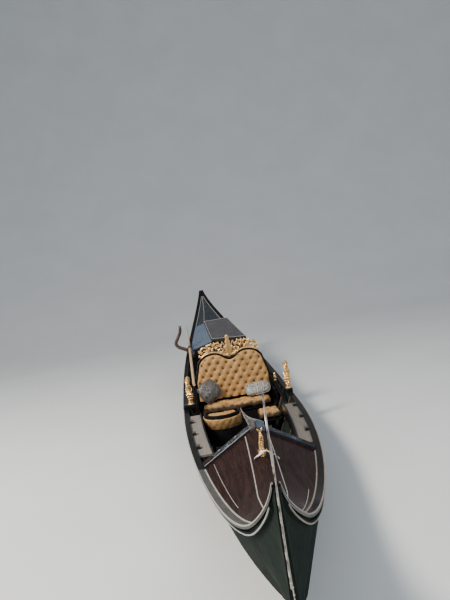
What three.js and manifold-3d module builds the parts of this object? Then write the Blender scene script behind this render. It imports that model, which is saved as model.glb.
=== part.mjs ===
// A gondola: a flat-bottomed, one-oar passenger boat, 10.8 m long, moored and empty.
// Millimetres. +X runs to the bow, +Y to port, +Z up, and Z = 0 is the waterline amidships.
// The hull is wider to port than to starboard, as the real boat is, because it is rowed on one side.
import * as THREE from "three";
import { mergeVertices } from "three/addons/utils/BufferGeometryUtils.js";
import Module from "manifold-3d";

const wasm = await Module();
wasm.setup();

// Driving dimensions of the hull.
const GAP = 0.4; // between pieces that touch
const FIT = 1.5; // between the curved planking and what stands inside it
const DRAUGHT = 190;
const STERN_X = -5420;
const BOW_X = 5194;
const DEEPEST_X = 600;
const END_HALF = 30; // half the hull's width where it closes on a post
const SIDES = {
  port: { sign: 1, beam: 836, widest: 139, bow: [2.507, 1.274], stern: [3.0, 1.38] },
  starboard: { sign: -1, beam: 526, widest: -507, bow: [2.6, 1.483], stern: [2.751, 1.233] },
};
const SHEER = { low: 441, lowX: 1211, bow: 1305, bowPower: 4.69, stern: 1721, sternPower: 3.28 };
const KEEL = { bow: [4.5, 0.5], stern: [2.3, 0.6] };
const KEEL_OFFSET = 140; // the bottom's middle line lies this far to port
const POST_SKEW = 0.115; // how far each post leans across, per millimetre of length
const CHINE = { half: 430, middle: 200, bow: 4200, stern: -4450, power: 2.2, fullness: 1.05 };

// Thicknesses and widths of the hull's timber.
const PLANK = 16;
const BOTTOM = 20;
const CAP = { width: 58, thick: 24, overhang: 8 };
const RAIL = { thick: 20, high: 30, edge: 6, drop: 44, bowRise: 8 };
const POST = { half: 12, deep: 80, skin: 1 };
const FLOOR = { under: -80, thick: 18, clear: 34, aftUnder: 100 };
const FRAME = { long: 42, wide: 22, deep: 60 };

// Decks, with the gable's slope at the bow and the raised edge of the rowing deck aft.
const BOW_DECK = { aft: 2430, fore: 4860, slope: 0.59, thick: 16, ridgeHalf: 95, proud: 6, ridgeThick: 20 };
const BEAM = { long: 110, proud: 26, deep: 46 };
const STERN_DECK = { fore: -2980, thick: 16 };
const STERN_EDGE = { x: -4000, y: -64, perX: 0.07, rise: 62, risePerX: 0.05 };
const MAT_BOARD = { aft: -4010, fore: -2990, lift: 40, rise: 110, thick: 20, inset: 4, edge: 20, wall: 18 };
const CARVED_PLATE = { fore: -4030, aft: -5180, thick: 12 };

// Ironwork.
// The blade above the teeth is a chain of lines and curves; points are [x past the bow's end, z].
const BOW_IRON = {
  thick: 9,
  teeth: 6,
  tooth: { high: 50, long: 130, droop: 8 },
  pitch: 74,
  topTooth: 1300,
  body: 62,
  strapAft: 4050,
  blade: [
    [[70, 1345]],
    [[215, 1370], [235, 1500], [150, 1590]],
    [[95, 1650], [10, 1675], [-60, 1668]],
    [[5, 1610], [15, 1520], [-20, 1440]],
    [[-38, 1384]],
    [[-190, 1372]],
    [[-190, 1330]],
    [[-40, 1322]],
  ],
  shank: [1240, 1160, 1080, 1000, 920, 840],
};
const STRAP = { thick: 10, wide: 18 };

// Fittings. Heights and places are in the boat's frame.
const BULKHEAD = 18;
const SIDE_BOARD = { wide: 134, thick: 22, drop: 20 };
const SEAT = {
  y: 170, wide: 1040, front: -150, back: -640, base: 215, board: 18, cushion: 125, footY: [-270, 560],
};
// An arm's rail rows are [x, offset inward, z, half across, half high]; the other pieces are boxes.
const ARM = {
  out: 36,
  rail: [
    [-578, 0, 570, 18, 18],
    [-300, -6, 500, 20, 18],
    [0, -16, 420, 20, 18],
    [260, -24, 352, 16, 16],
  ],
  side: { half: 8, low: -10, high: 150, fromBack: 60, fromFront: 66 },
  bracket: { low: -14, high: -4, lap: 10, fromBack: 80, fromFront: 90 },
  stay: { from: -340, to: -306, half: 10, low: 100, top: 500 },
};
// The back's lobed outline, as heights and as distances from its middle line.
const BACK = {
  footHalf: 535, topHalf: 460, thick: 20, rim: 20, rimDeep: 70, proud: 22, front: -500,
  waist: 600, shoulder: 880, lobe: [[400, 1000], [200, 1020], [120, 955]], dip: [[60, 900], [0, 893]],
};
// The crest's right half as [y, z] points from the seat's middle; each scroll is one curve.
const CREST = {
  thick: 44,
  back: 14,
  foot: [415, 860],
  shoulder: [415, 930],
  scrolls: [
    [[450, 1000], [440, 1080], [380, 1090]],
    [[330, 1130], [260, 1120], [210, 1150]],
    [[160, 1150], [120, 1120], [80, 1140]],
  ],
  top: [50, 1225],
};
const CHAIR = { x: 700, y: -90, wide: 440, deep: 420, seat: 190, pad: 225, rim: 455, wall: 26 };
const STOOL = { x: 215, y: 530, wide: 330, long: 310, top: 280, pad: 110, legs: [-110, 40] };
// Each pillow's middle across the boat, its sizes, and how far it leans back and turns inboard.
const PILLOW = {
  starboard: { y: -190, wide: 300, high: 290, thick: 130, tilt: -0.38, turn: 0.2 },
  port: { y: 485, wide: 360, high: 220, thick: 110, tilt: -0.8, turn: -0.2 },
};
// The brass figures stand on blocks; the starboard block reaches inboard of the gunwale cap.
const FIGURE = {
  x: 170,
  block: { long: 150, high: 46, radius: 12, lift: 1.5 },
  port: { wide: 84, middle: 29, inboard: 0 },
  starboard: { wide: 146, middle: -20, inboard: 20 },
  profile: [
    [38, 0],
    [40, 14],
    [27, 30],
    [38, 75],
    [50, 135],
    [38, 185],
    [42, 225],
    [27, 265],
    [38, 303],
    [31, 343],
    [11, 374],
  ],
};
const ORNAMENT = {
  x: 3200,
  seated: 12,
  profile: [
    [26, 0],
    [30, 16],
    [16, 36],
    [25, 72],
    [15, 104],
    [22, 142],
    [12, 176],
    [18, 204],
    [6, 232],
  ],
};
// The steel horn before the two beams, as [across, up] from the ridge board's top line.
const HORN = {
  clear: 2,
  thick: 26,
  foot: [[-34, -60], [80, -60]],
  outer: [[-62, 62], [-96, 120], [-106, 206]],
  brow: [[-84, 128], [-42, 96], [14, 74]],
  tail: [[46, 62], [66, 50], [82, 36]],
};
const FORCOLA = {
  x: -2880,
  y: 45, // inboard of the hull's edge
  rows: [
    [0, 2, -30, 60, 34],
    [0, 0, 18, 60, 34],
    [4, -50, 70, 58, 34],
    [9, -135, 112, 56, 33],
    [13, -205, 162, 53, 33],
    [12, -218, 215, 49, 32],
    [8, -190, 272, 45, 31],
    [3, -147, 338, 41, 30],
    [0, -116, 400, 40, 30],
    [0, -104, 462, 46, 30],
    [-4, -106, 520, 27, 20],
  ],
  notch: 20,
  notchAt: [-40, 0, 398],
  block: { long: 190, wide: 84, deep: 62 },
};
// The oar lies straight from its handle; the table's rows are [distance aft, half across, half high].
const OAR = {
  handle: [-500, -390, 599.8],
  run: [-1, -0.0085, 0.0915],
  sections: [
    [0, 18, 18],
    [200, 21, 21],
    [2100, 22, 22],
    [3000, 19, 19],
    [3150, 18, 20],
    [3400, 12, 42],
    [3700, 9, 62],
    [4150, 7, 58],
  ],
};
const TURNING = 12; // flats round a small turned piece

// Colours, roughness and metalness of the materials.
const material = (color, roughness, metalness = 0) =>
  new THREE.MeshStandardMaterial({ color, roughness, metalness });
const LACQUER = material(0x0c0c0e, 0.18);
const BLACK_PAINT = material(0x121314, 0.45);
const STEEL = material(0xb9bcbe, 0.25, 1);
const GILT = material(0xc79a45, 0.3, 1);
const BROCADE = material(0xb98d4f, 0.75);
const SILVER_CLOTH = material(0x8f8a80, 0.8);
const GREY_BOARD = material(0x9a9184, 0.7);
const GREY_MAT = material(0x4b4a4c, 0.9);
const WALNUT = material(0x4a2a1c, 0.45);
const ASH = material(0xc9a678, 0.5);
const INNER_WOOD = material(0x2a211b, 0.75);

// Stations along X shared by all long pieces, closer together where the ends curl.
const STATIONS = [
  -5385, -5350, -5300, -5220, -5120, -4990, -4840, -4660, -4450, -4200, -4020, -3700, -3350, -3000,
  -2600, -2200, -1700, -1200, -700, -200, 300, 800, 1300, 1800, 2200, 2570, 2900, 3250, 3600, 3900,
  4200, 4450, 4660, 4840, 4980, 5060, 5115, 5150,
];
function stationsBetween(low, high) {
  return [low, ...STATIONS.filter((x) => x > low + 1 && x < high - 1), high];
}
// A curve read at the stations and straight between them, so that neighbouring pieces match.
function faceted(curve) {
  const knots = [STERN_X, ...STATIONS, BOW_X];
  const values = knots.map(curve);
  return (x) => {
    const i = Math.min(knots.length - 2, Math.max(0, knots.findIndex((k) => k > x) - 1));
    const t = (x - knots[i]) / (knots[i + 1] - knots[i]);
    return values[i] + t * (values[i + 1] - values[i]);
  };
}

// Half the hull's breadth at the sheer, to port or to starboard of the line between the posts.
function breadthCurve(x, side) {
  const { beam, widest, bow, stern } = SIDES[side];
  const forward = x > widest;
  const t = forward ? (x - widest) / (BOW_X - widest) : (widest - x) / (widest - STERN_X);
  const [power, fullness] = forward ? bow : stern;
  return END_HALF + beam * Math.pow(Math.max(0, 1 - Math.pow(Math.min(t, 1), power)), fullness);
}
const BREADTH = {
  port: faceted((x) => breadthCurve(x, "port")),
  starboard: faceted((x) => breadthCurve(x, "starboard")),
};
const edgeY = (x, side) => SIDES[side].sign * BREADTH[side](x);
const middleY = (x) => (edgeY(x, "port") + edgeY(x, "starboard")) / 2;
const meanHalf = (x) => (edgeY(x, "port") - edgeY(x, "starboard")) / 2;

const sheerZ = faceted((x) => {
  const { low, lowX, bow, bowPower, stern, sternPower } = SHEER;
  return x > lowX
    ? low + (bow - low) * Math.pow((x - lowX) / (BOW_X - lowX), bowPower)
    : low + (stern - low) * Math.pow((lowX - x) / (lowX - STERN_X), sternPower);
});

// The underside of the hull: a shallow rocker that curls up into each post.
const keelZ = faceted((x) => {
  const forward = x > DEEPEST_X;
  const end = forward ? BOW_X : STERN_X;
  const top = forward ? SHEER.bow : SHEER.stern;
  const [power, curl] = forward ? KEEL.bow : KEEL.stern;
  const t = Math.min(1, (x - DEEPEST_X) / (end - DEEPEST_X));
  return (top + DRAUGHT) * (1 - Math.pow(1 - Math.pow(t, power), curl)) - DRAUGHT;
});

// The bottom's middle line: straight along each post, and level with KEEL_OFFSET between them.
const keelY = faceted((x) => {
  const rounding = 10;
  const reach = POST_SKEW * Math.min(BOW_X - x, x - STERN_X);
  return (reach + KEEL_OFFSET - Math.hypot(reach - KEEL_OFFSET, rounding)) / 2;
});

const chineHalf = faceted((x) => {
  const end = x > CHINE.middle ? CHINE.bow : CHINE.stern;
  const t = Math.min(1, (x - CHINE.middle) / (end - CHINE.middle));
  return END_HALF + CHINE.half * Math.pow(1 - Math.pow(t, CHINE.power), CHINE.fullness);
});

// The outer face of the side planking at a height, a straight line from chine to sheer.
function outerY(x, z, side) {
  const low = keelZ(x);
  const chine = keelY(x) + SIDES[side].sign * chineHalf(x);
  return chine + ((edgeY(x, side) - chine) * (z - low)) / (sheerZ(x) - low);
}
const innerY = (x, z, side) => outerY(x, z, side) - SIDES[side].sign * PLANK;

const capWidth = (x) => Math.min(CAP.width, meanHalf(x) - GAP);
const capInnerY = (x, side) => edgeY(x, side) - SIDES[side].sign * capWidth(x);
const ridgeHalf = (x) => Math.min(BOW_DECK.ridgeHalf, 0.3 * meanHalf(x));
const ridgeZ = (x) => sheerZ(x) + BOW_DECK.slope * (meanHalf(x) - capWidth(x));

// Builds a closed mesh from rings of equal length, each an array of [x, y, z], and caps both ends.
// A fan from the first point caps a ring that has points in line, which the triangulation drops.
function loft(rings, fan = false) {
  const n = rings[0].length;
  const positions = rings.flat(2);
  const index = [];
  for (let i = 0; i + 1 < rings.length; i++) {
    for (let j = 0; j < n; j++) {
      const a = i * n + j;
      const b = i * n + ((j + 1) % n);
      index.push(a, b, b + n, a, b + n, a + n);
    }
  }
  for (const [k, flip] of [
    [0, true],
    [rings.length - 1, false],
  ]) {
    const flat = flatten(rings[k]);
    const ccw = THREE.ShapeUtils.area(flat) > 0;
    const faces = fan
      ? Array.from({ length: n - 2 }, (_, j) => [0, j + 1, j + 2])
      : THREE.ShapeUtils.triangulateShape(flat, []);
    for (const [a, b, c] of faces) {
      const turn = (flat[b].x - flat[a].x) * (flat[c].y - flat[a].y) -
        (flat[c].x - flat[a].x) * (flat[b].y - flat[a].y);
      const same = turn > 0 === ccw;
      const tri = same !== flip ? [a, b, c] : [a, c, b];
      index.push(...tri.map((v) => v + k * n));
    }
  }
  return outward(fromArrays(positions, index));
}

// A ring's points in the plane that it lies nearest to.
function flatten(ring) {
  const points = ring.map((p) => new THREE.Vector3(...p));
  const normal = new THREE.Vector3();
  points.forEach((p, i) => normal.add(p.clone().cross(points[(i + 1) % points.length])));
  normal.normalize();
  const helper = Math.abs(normal.z) < 0.9 ? new THREE.Vector3(0, 0, 1) : new THREE.Vector3(1, 0, 0);
  const u = helper.clone().cross(normal).normalize();
  const v = normal.clone().cross(u);
  return points.map((p) => new THREE.Vector2(p.dot(u), p.dot(v)));
}

function fromArrays(positions, index) {
  const geometry = new THREE.BufferGeometry();
  geometry.setAttribute("position", new THREE.Float32BufferAttribute(positions, 3));
  geometry.setIndex(index);
  return geometry;
}

// Turns a closed mesh's faces outwards.
function outward(geometry) {
  const p = geometry.getAttribute("position");
  const index = geometry.index.array;
  const [a, b, c] = [new THREE.Vector3(), new THREE.Vector3(), new THREE.Vector3()];
  let volume = 0;
  for (let i = 0; i < index.length; i += 3) {
    a.fromBufferAttribute(p, index[i]);
    b.fromBufferAttribute(p, index[i + 1]);
    c.fromBufferAttribute(p, index[i + 2]);
    volume += a.dot(b.cross(c));
  }
  if (volume < 0) {
    const turned = Array.from(index);
    for (let i = 0; i < turned.length; i += 3) {
      [turned[i + 1], turned[i + 2]] = [turned[i + 2], turned[i + 1]];
    }
    geometry.setIndex(turned);
  }
  return geometry;
}

// A long piece whose section at each station is a ring of [y, z] points.
function longPiece(low, high, section, fan = false) {
  return loft(stationsBetween(low, high).map((x) => section(x).map(([y, z]) => [x, y, z])), fan);
}

// Joining and cutting.
function toSolid(geometry) {
  const bare = geometry.index ? geometry.toNonIndexed() : geometry.clone();
  bare.deleteAttribute("normal");
  bare.deleteAttribute("uv");
  const merged = mergeVertices(bare, 1e-3);
  return new wasm.Manifold(
    new wasm.Mesh({
      numProp: 3,
      vertProperties: new Float32Array(merged.getAttribute("position").array),
      triVerts: new Uint32Array(merged.index.array),
    }),
  );
}
function toGeometry(solid) {
  const mesh = solid.getMesh();
  return fromArrays(Array.from(mesh.vertProperties), Array.from(mesh.triVerts));
}
const join = (...parts) => toGeometry(parts.map(toSolid).reduce((sum, part) => sum.add(part)));
const cut = (body, ...tools) =>
  toGeometry(tools.map(toSolid).reduce((rest, tool) => rest.subtract(tool), toSolid(body)));

// Simple shapes.
function box([x0, y0, z0], [x1, y1, z1]) {
  return new THREE.BoxGeometry(x1 - x0, y1 - y0, z1 - z0).translate(
    (x0 + x1) / 2,
    (y0 + y1) / 2,
    (z0 + z1) / 2,
  );
}
function outline(points) {
  return new THREE.Shape(points.map(([u, v]) => new THREE.Vector2(u, v)));
}
// A plan outline in X and Y, raised from z0 to z1.
function slab(shape, z0, z1, rounding = 0) {
  return new THREE.ExtrudeGeometry(shape, {
    depth: z1 - z0 - 2 * rounding,
    bevelEnabled: rounding > 0,
    bevelThickness: rounding,
    bevelSize: rounding,
    bevelOffset: -rounding,
    bevelSegments: 2,
    curveSegments: 6,
  }).translate(0, 0, z0 + rounding);
}
// An outline in X and Z, extruded across the boat about Y = 0.
function crosswise(shape, thick) {
  return new THREE.ExtrudeGeometry(shape, { depth: thick, bevelEnabled: false, curveSegments: 6 })
    .translate(0, 0, -thick / 2)
    .rotateX(Math.PI / 2);
}
function roundedRect(wide, long, radius) {
  const [w, l] = [wide / 2, long / 2];
  const shape = new THREE.Shape();
  shape.moveTo(-w + radius, -l);
  shape.lineTo(w - radius, -l);
  shape.absarc(w - radius, -l + radius, radius, -Math.PI / 2, 0, false);
  shape.lineTo(w, l - radius);
  shape.absarc(w - radius, l - radius, radius, 0, Math.PI / 2, false);
  shape.lineTo(-w + radius, l);
  shape.absarc(-w + radius, l - radius, radius, Math.PI / 2, Math.PI, false);
  shape.lineTo(-w, -l + radius);
  shape.absarc(-w + radius, -l + radius, radius, Math.PI, Math.PI * 1.5, false);
  return shape;
}
// A turned piece from a table of [radius, height], standing on z = 0.
function turned(profile, sides = TURNING) {
  const points = [[0, profile[0][1]], ...profile, [0, profile[profile.length - 1][1]]];
  const lathe = new THREE.LatheGeometry(points.map(([r, z]) => new THREE.Vector2(r, z)), sides);
  return lathe.rotateX(Math.PI / 2);
}
// A limb of changing oval section along a smooth path. Rows are [x, y, z, halfAcross, halfDeep].
function limb(rows, steps, sides = 8, across = new THREE.Vector3(1, 0, 0)) {
  const path = new THREE.CatmullRomCurve3(rows.map(([x, y, z]) => new THREE.Vector3(x, y, z)));
  const sizes = new THREE.CatmullRomCurve3(rows.map((r) => new THREE.Vector3(r[3], r[4], 0)));
  const rings = [];
  for (let i = 0; i <= steps; i++) {
    const t = i / steps;
    const centre = path.getPoint(t);
    const ahead = path.getTangent(t);
    const size = sizes.getPoint(t);
    const side = across.clone().addScaledVector(ahead, -across.dot(ahead)).normalize();
    const deep = ahead.clone().cross(side);
    const ring = [];
    for (let k = 0; k < sides; k++) {
      const a = (2 * Math.PI * (k + 0.5)) / sides;
      const p = centre
        .clone()
        .addScaledVector(side, Math.cos(a) * size.x)
        .addScaledVector(deep, Math.sin(a) * size.y);
      ring.push(p.toArray());
    }
    rings.push(ring);
  }
  return loft(rings);
}

const boat = new THREE.Group();
function add(name, geometry, look, parent = boat) {
  const mesh = new THREE.Mesh(geometry, look);
  mesh.name = name;
  parent.add(mesh);
  return mesh;
}

// The shell: bottom, side planking, posts, gunwale caps and rubbing rails.
// The rubbing rail's lower and upper edges, which the planking also has as seams.
function railHeights(x) {
  const high = sheerZ(x) - RAIL.drop + RAIL.bowRise * Math.pow(Math.max(0, x / BOW_X), 4);
  return [high - RAIL.high, high];
}
// Each side is planked in three lengths, butted at stations fore and aft of the open wells.
const PLANK_LENGTHS = { aft: [-5385, -2200], middle: [-2200, 2570], fore: [2570, 5150] };
function sidePlanking(side, length) {
  const [aft, fore] = PLANK_LENGTHS[length];
  const section = (x) => {
    const low = keelZ(x) + BOTTOM + GAP;
    const high = sheerZ(x) - CAP.thick - GAP;
    const rail = railHeights(x).map((z) => Math.max(low + 1, z));
    return [
      [innerY(x, low, side), low],
      ...[low, ...rail, high].map((z) => [outerY(x, z, side), z]),
      [innerY(x, high, side), high],
    ];
  };
  return longPiece(aft + GAP / 2, fore - GAP / 2, section, true);
}
function bottomPlanking() {
  return longPiece(CHINE.stern, CHINE.bow, (x) => {
    const [y, half, z] = [keelY(x), chineHalf(x), keelZ(x)];
    return [
      [y - half, z],
      [y + half, z],
      [y + half, z + BOTTOM],
      [y - half, z + BOTTOM],
    ];
  });
}
function gunwaleCap(side) {
  const sign = SIDES[side].sign;
  return longPiece(-5385, 5150, (x) => {
    const z = sheerZ(x);
    const inner = capInnerY(x, side);
    const outer = edgeY(x, side) + sign * CAP.overhang;
    return [
      [inner, z - CAP.thick],
      [outer, z - CAP.thick],
      [outer, z],
      [inner, z],
    ];
  });
}
function rubbingRail(side) {
  const sign = SIDES[side].sign;
  return longPiece(-5220, 5060, (x) => {
    const [low, high] = railHeights(x);
    const [a, b] = [low, high].map((z) => outerY(x, z, side) + sign * GAP);
    return [
      [a, low],
      [b, high],
      [b + sign * RAIL.thick, high - RAIL.edge],
      [a + sign * RAIL.thick, low + RAIL.edge],
    ];
  });
}

// A post lies in an upright plane that leans across the boat. In that plane u is the distance from
// the post's end, and this places a crosswise extrusion there.
const POST_ANGLE = Math.atan(POST_SKEW);
const alongPost = (x, end) => (x - end) / Math.cos(POST_ANGLE);
function inPostPlane(geometry, end) {
  return geometry.rotateZ(end > 0 ? -POST_ANGLE : POST_ANGLE).translate(end, 0, 0);
}
// Points of the keel line moved off it by a distance, outwards if positive.
function keelLine(from, to, off) {
  const [low, high] = [Math.min(from, to), Math.max(from, to)];
  const along = stationsBetween(low, high);
  const points = along.map((x) => {
    const slope = new THREE.Vector2(8, keelZ(x + 4) - keelZ(x - 4)).normalize();
    return [x + slope.y * off, keelZ(x) - slope.x * off];
  });
  return from < to ? points : points.reverse();
}
function post(from, to, end, top) {
  const outer = keelLine(from, to, 0);
  const inner = keelLine(from, to, -POST.deep)
    .filter(([x, z]) => z < sheerZ(x) - CAP.thick - 12 && (x - from) * Math.sign(end) > 0)
    .reverse();
  const points = [...outer, top, ...inner].map(([x, z]) => [alongPost(x, end), z]);
  return inPostPlane(crosswise(outline(points), 2 * POST.half), end);
}

function buildShell() {
  add("bottom_planking", bottomPlanking(), BLACK_PAINT);
  for (const side of ["port", "starboard"]) {
    for (const length of Object.keys(PLANK_LENGTHS)) {
      add(`side_planking_${side}_${length}`, sidePlanking(side, length), LACQUER);
    }
    add(`gunwale_cap_${side}`, gunwaleCap(side), LACQUER);
    add(`rubbing_rail_${side}`, rubbingRail(side), LACQUER);
  }
  add("stem_post", post(CHINE.bow + 4, 5180, BOW_X, [5150, 1200]), BLACK_PAINT);
  add("stern_post", post(CHINE.stern - 4, -5410, STERN_X, [-5385, 1650]), BLACK_PAINT);
}

// Timbers and panels inside the shell.
const FRAME_STATIONS = [-2200, -1700, -1200, -700, -200, 300, 800, 1300, 1800];
const KEELSON = { aft: -2960, fore: 2380, half: 34, high: 52 };

// A ring across the hull between two heights, a distance in from the planking's inner face.
function insidePoint(x, z, side, inset) {
  return [innerY(x, z, side) - SIDES[side].sign * inset, z];
}
function frame(x0) {
  const { long, wide, deep } = FRAME;
  const ring = (x) => {
    const low = keelZ(x) + BOTTOM + GAP;
    const high = sheerZ(x) - CAP.thick - 2;
    const floor = Math.max(FLOOR.under, low + deep) - GAP;
    return [
      insidePoint(x, low, "starboard", FIT),
      insidePoint(x, low, "port", FIT),
      insidePoint(x, high, "port", FIT),
      insidePoint(x, high, "port", wide),
      insidePoint(x, floor, "port", wide),
      insidePoint(x, floor, "starboard", wide),
      insidePoint(x, high, "starboard", wide),
      insidePoint(x, high, "starboard", FIT),
    ].map(([y, z]) => [x, y, z]);
  };
  return loft([ring(x0), ring(x0 + long)]);
}
function frames() {
  const keelson = longPiece(KEELSON.aft, KEELSON.fore, (x) => {
    const [y, z] = [keelY(x), keelZ(x) + BOTTOM + GAP];
    return [
      [y - KEELSON.half, z],
      [y + KEELSON.half, z],
      [y + KEELSON.half, z + KEELSON.high],
      [y - KEELSON.half, z + KEELSON.high],
    ];
  });
  return join(keelson, ...FRAME_STATIONS.map(frame));
}

// Boards laid level across the hull between two stations, clear of the planking by a distance.
function floorPanel(low, high, under, clear) {
  return longPiece(low, high, (x) => {
    const [p, s] = ["port", "starboard"].map((side) => insidePoint(x, under, side, clear)[0]);
    return [
      [s, under],
      [p, under],
      [p, under + FLOOR.thick],
      [s, under + FLOOR.thick],
    ];
  });
}

// A wall across the hull, from just above the bottom up to a line of [y, z] points.
function bulkhead(x, topLine) {
  const ring = (at) => {
    const low = keelZ(at) + BOTTOM + GAP;
    const top = topLine(at);
    const sides = [
      insidePoint(at, low, "starboard", FIT),
      insidePoint(at, low, "port", FIT),
      insidePoint(at, sheerZ(at) - CAP.thick - 2, "port", FIT),
      ...top,
      insidePoint(at, sheerZ(at) - CAP.thick - 2, "starboard", FIT),
    ];
    return sides.map(([y, z]) => [at, y, z]);
  };
  return loft([ring(x), ring(x + BULKHEAD)]);
}

// The bow deck: a gable of two panels and a ridge board, closed aft by two beams that meet at the top.
function deckEdge(x, side) {
  return capInnerY(x, side) - SIDES[side].sign * GAP;
}
function bowPanel(side) {
  const sign = SIDES[side].sign;
  return longPiece(BOW_DECK.aft + BEAM.long + 1, BOW_DECK.fore, (x) => {
    const outer = deckEdge(x, side);
    const inner = middleY(x) + sign * (ridgeHalf(x) + GAP);
    const rise = BOW_DECK.slope * Math.abs(inner - outer);
    const z = sheerZ(x);
    return [
      [outer, z - BOW_DECK.thick],
      [outer, z],
      [inner, z + rise],
      [inner, z + rise - BOW_DECK.thick],
    ];
  });
}
function bowRidge() {
  return longPiece(BOW_DECK.aft + BEAM.long + 1, BOW_DECK.fore, (x) => {
    const [y, half, z] = [middleY(x), ridgeHalf(x), ridgeZ(x) + BOW_DECK.proud];
    const low = z - BOW_DECK.slope * half;
    return [
      [y - half, low - BOW_DECK.ridgeThick],
      [y + half, low - BOW_DECK.ridgeThick],
      [y + half, low],
      [y, z],
      [y - half, low],
    ];
  });
}
function bowBeam(side) {
  const sign = SIDES[side].sign;
  const ring = (x) => {
    const z = sheerZ(x);
    const [outer, inner] = [deckEdge(x, side), middleY(x) + sign * GAP];
    const top = ridgeZ(x) + BEAM.proud;
    return [
      [outer, z - BEAM.deep],
      [outer, z + BEAM.proud],
      [inner, top],
      [inner, top - BEAM.proud - BEAM.deep],
    ].map(([y, h]) => [x, y, h]);
  };
  return loft([ring(BOW_DECK.aft), ring(BOW_DECK.aft + BEAM.long)]);
}

// The stern deck: two panels that meet on a ridge to starboard of the middle, a raised mat board for
// the rower on the port panel, and a carved plate that closes the tip.
const sternEdgeY = (x) => STERN_EDGE.y + STERN_EDGE.perX * (x - STERN_EDGE.x);
const sternEdgeZ = (x) => sheerZ(x) + STERN_EDGE.rise + STERN_EDGE.risePerX * (x - STERN_EDGE.x);
function sternPanel(side, low, high) {
  const sign = SIDES[side].sign;
  return longPiece(low, high, (x) => {
    const [outer, inner] = [deckEdge(x, side), sternEdgeY(x) + sign * GAP];
    const [z, ridge] = [sheerZ(x), sternEdgeZ(x)];
    return [
      [outer, z - STERN_DECK.thick],
      [outer, z],
      [inner, ridge],
      [inner, ridge - STERN_DECK.thick],
    ];
  });
}
function matBoard() {
  const { aft, fore, lift, rise, thick, inset, edge, wall } = MAT_BOARD;
  const section = (x, open) => {
    const inner = sternEdgeY(x) + inset;
    const outer = edgeY(x, "port") - edge;
    const corner = deckEdge(x, "port") - 1;
    const [high, low] = [sternEdgeZ(x) + lift, sheerZ(x) + rise];
    const across = (y) => high + ((low - high) * (y - inner)) / (outer - inner);
    const slope = (sternEdgeZ(x) - sheerZ(x)) / (deckEdge(x, "port") - sternEdgeY(x));
    const deck = (y) => (y > corner ? sheerZ(x) : sheerZ(x) + slope * (corner + 1 - y)) + GAP + 0.4;
    const hollow = [
      [inner + wall, deck(inner + wall)],
      [inner + wall, across(inner + wall) - thick],
      [outer - wall, across(outer - wall) - thick],
      [outer - wall, deck(outer - wall)],
    ];
    const solid = [[corner, deck(corner)]];
    const foot = open ? hollow : solid;
    return [[inner, deck(inner)], ...foot, [outer, deck(outer)], [outer, low], [inner, high]];
  };
  return join(
    longPiece(aft, fore, (x) => section(x, true)),
    longPiece(aft, aft + wall, (x) => section(x, false)),
    longPiece(fore - wall, fore, (x) => section(x, false)),
  );
}
function sternPlate() {
  return longPiece(CARVED_PLATE.aft, CARVED_PLATE.fore, (x) => {
    const p = deckEdge(x, "port");
    const s = deckEdge(x, "starboard");
    const z = sheerZ(x);
    const t = (CARVED_PLATE.fore - x) / (CARVED_PLATE.fore - CARVED_PLATE.aft);
    const y = sternEdgeY(CARVED_PLATE.fore) * (1 - t) + ((p + s) / 2) * t;
    const rise = STERN_EDGE.rise * (1 - t) + 6;
    return [
      [s, z - CARVED_PLATE.thick],
      [s, z],
      [y, z + rise],
      [p, z],
      [p, z - CARVED_PLATE.thick],
      [y, z + rise - CARVED_PLATE.thick],
    ];
  });
}

// Ironwork. Outlines are [x, z] in the plane of the post that the iron stands on.
function bowIron() {
  const { thick, teeth, tooth, pitch, topTooth, body } = BOW_IRON;
  const face = (z) => {
    const line = keelLine(CHINE.bow, BOW_X, POST.skin);
    const i = line.findIndex(([, h]) => h >= z);
    return i < 0 ? BOW_X + POST.skin : line[i][0];
  };
  const shape = new THREE.Shape();
  const strap = keelLine(BOW_IRON.strapAft, 5115, POST.skin + STRAP.thick).filter(([, z]) => z < 800);
  const under = keelLine(BOW_IRON.strapAft, 5115, POST.skin).filter(([, z]) => z < 800);
  shape.moveTo(...under[0]);
  strap.forEach(([x, z]) => shape.lineTo(x, z));
  for (let i = teeth - 1; i >= 0; i--) {
    const z = topTooth - i * pitch;
    const root = face(z) + body;
    shape.lineTo(root, z - tooth.high);
    shape.lineTo(root + tooth.long, z - tooth.high + tooth.droop);
    shape.lineTo(root + tooth.long + 6, z - tooth.droop);
    shape.lineTo(root, z);
  }
  BOW_IRON.blade.forEach((points) => {
    const [u, v, w] = points.map(([x, z]) => [BOW_X + x, z]);
    if (w) shape.bezierCurveTo(...u, ...v, ...w);
    else shape.lineTo(...u);
  });
  shape.lineTo(BOW_X + POST.skin, 1318);
  BOW_IRON.shank.forEach((z) => shape.lineTo(face(z), z));
  [...under].reverse().slice(0, -1).forEach(([x, z]) => shape.lineTo(x, z));
  const local = shape.getPoints(6).map((p) => [alongPost(p.x, BOW_X), p.y]);
  return inPostPlane(crosswise(outline(local), thick), BOW_X);
}
function sternIron() {
  const outer = keelLine(-3900, -5410, POST.skin + STRAP.thick);
  const inner = keelLine(-3900, -5410, POST.skin).reverse();
  const local = [...outer, ...inner].map(([x, z]) => [alongPost(x, STERN_X), z]);
  return inPostPlane(crosswise(outline(local), STRAP.wide), STERN_X);
}

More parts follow.
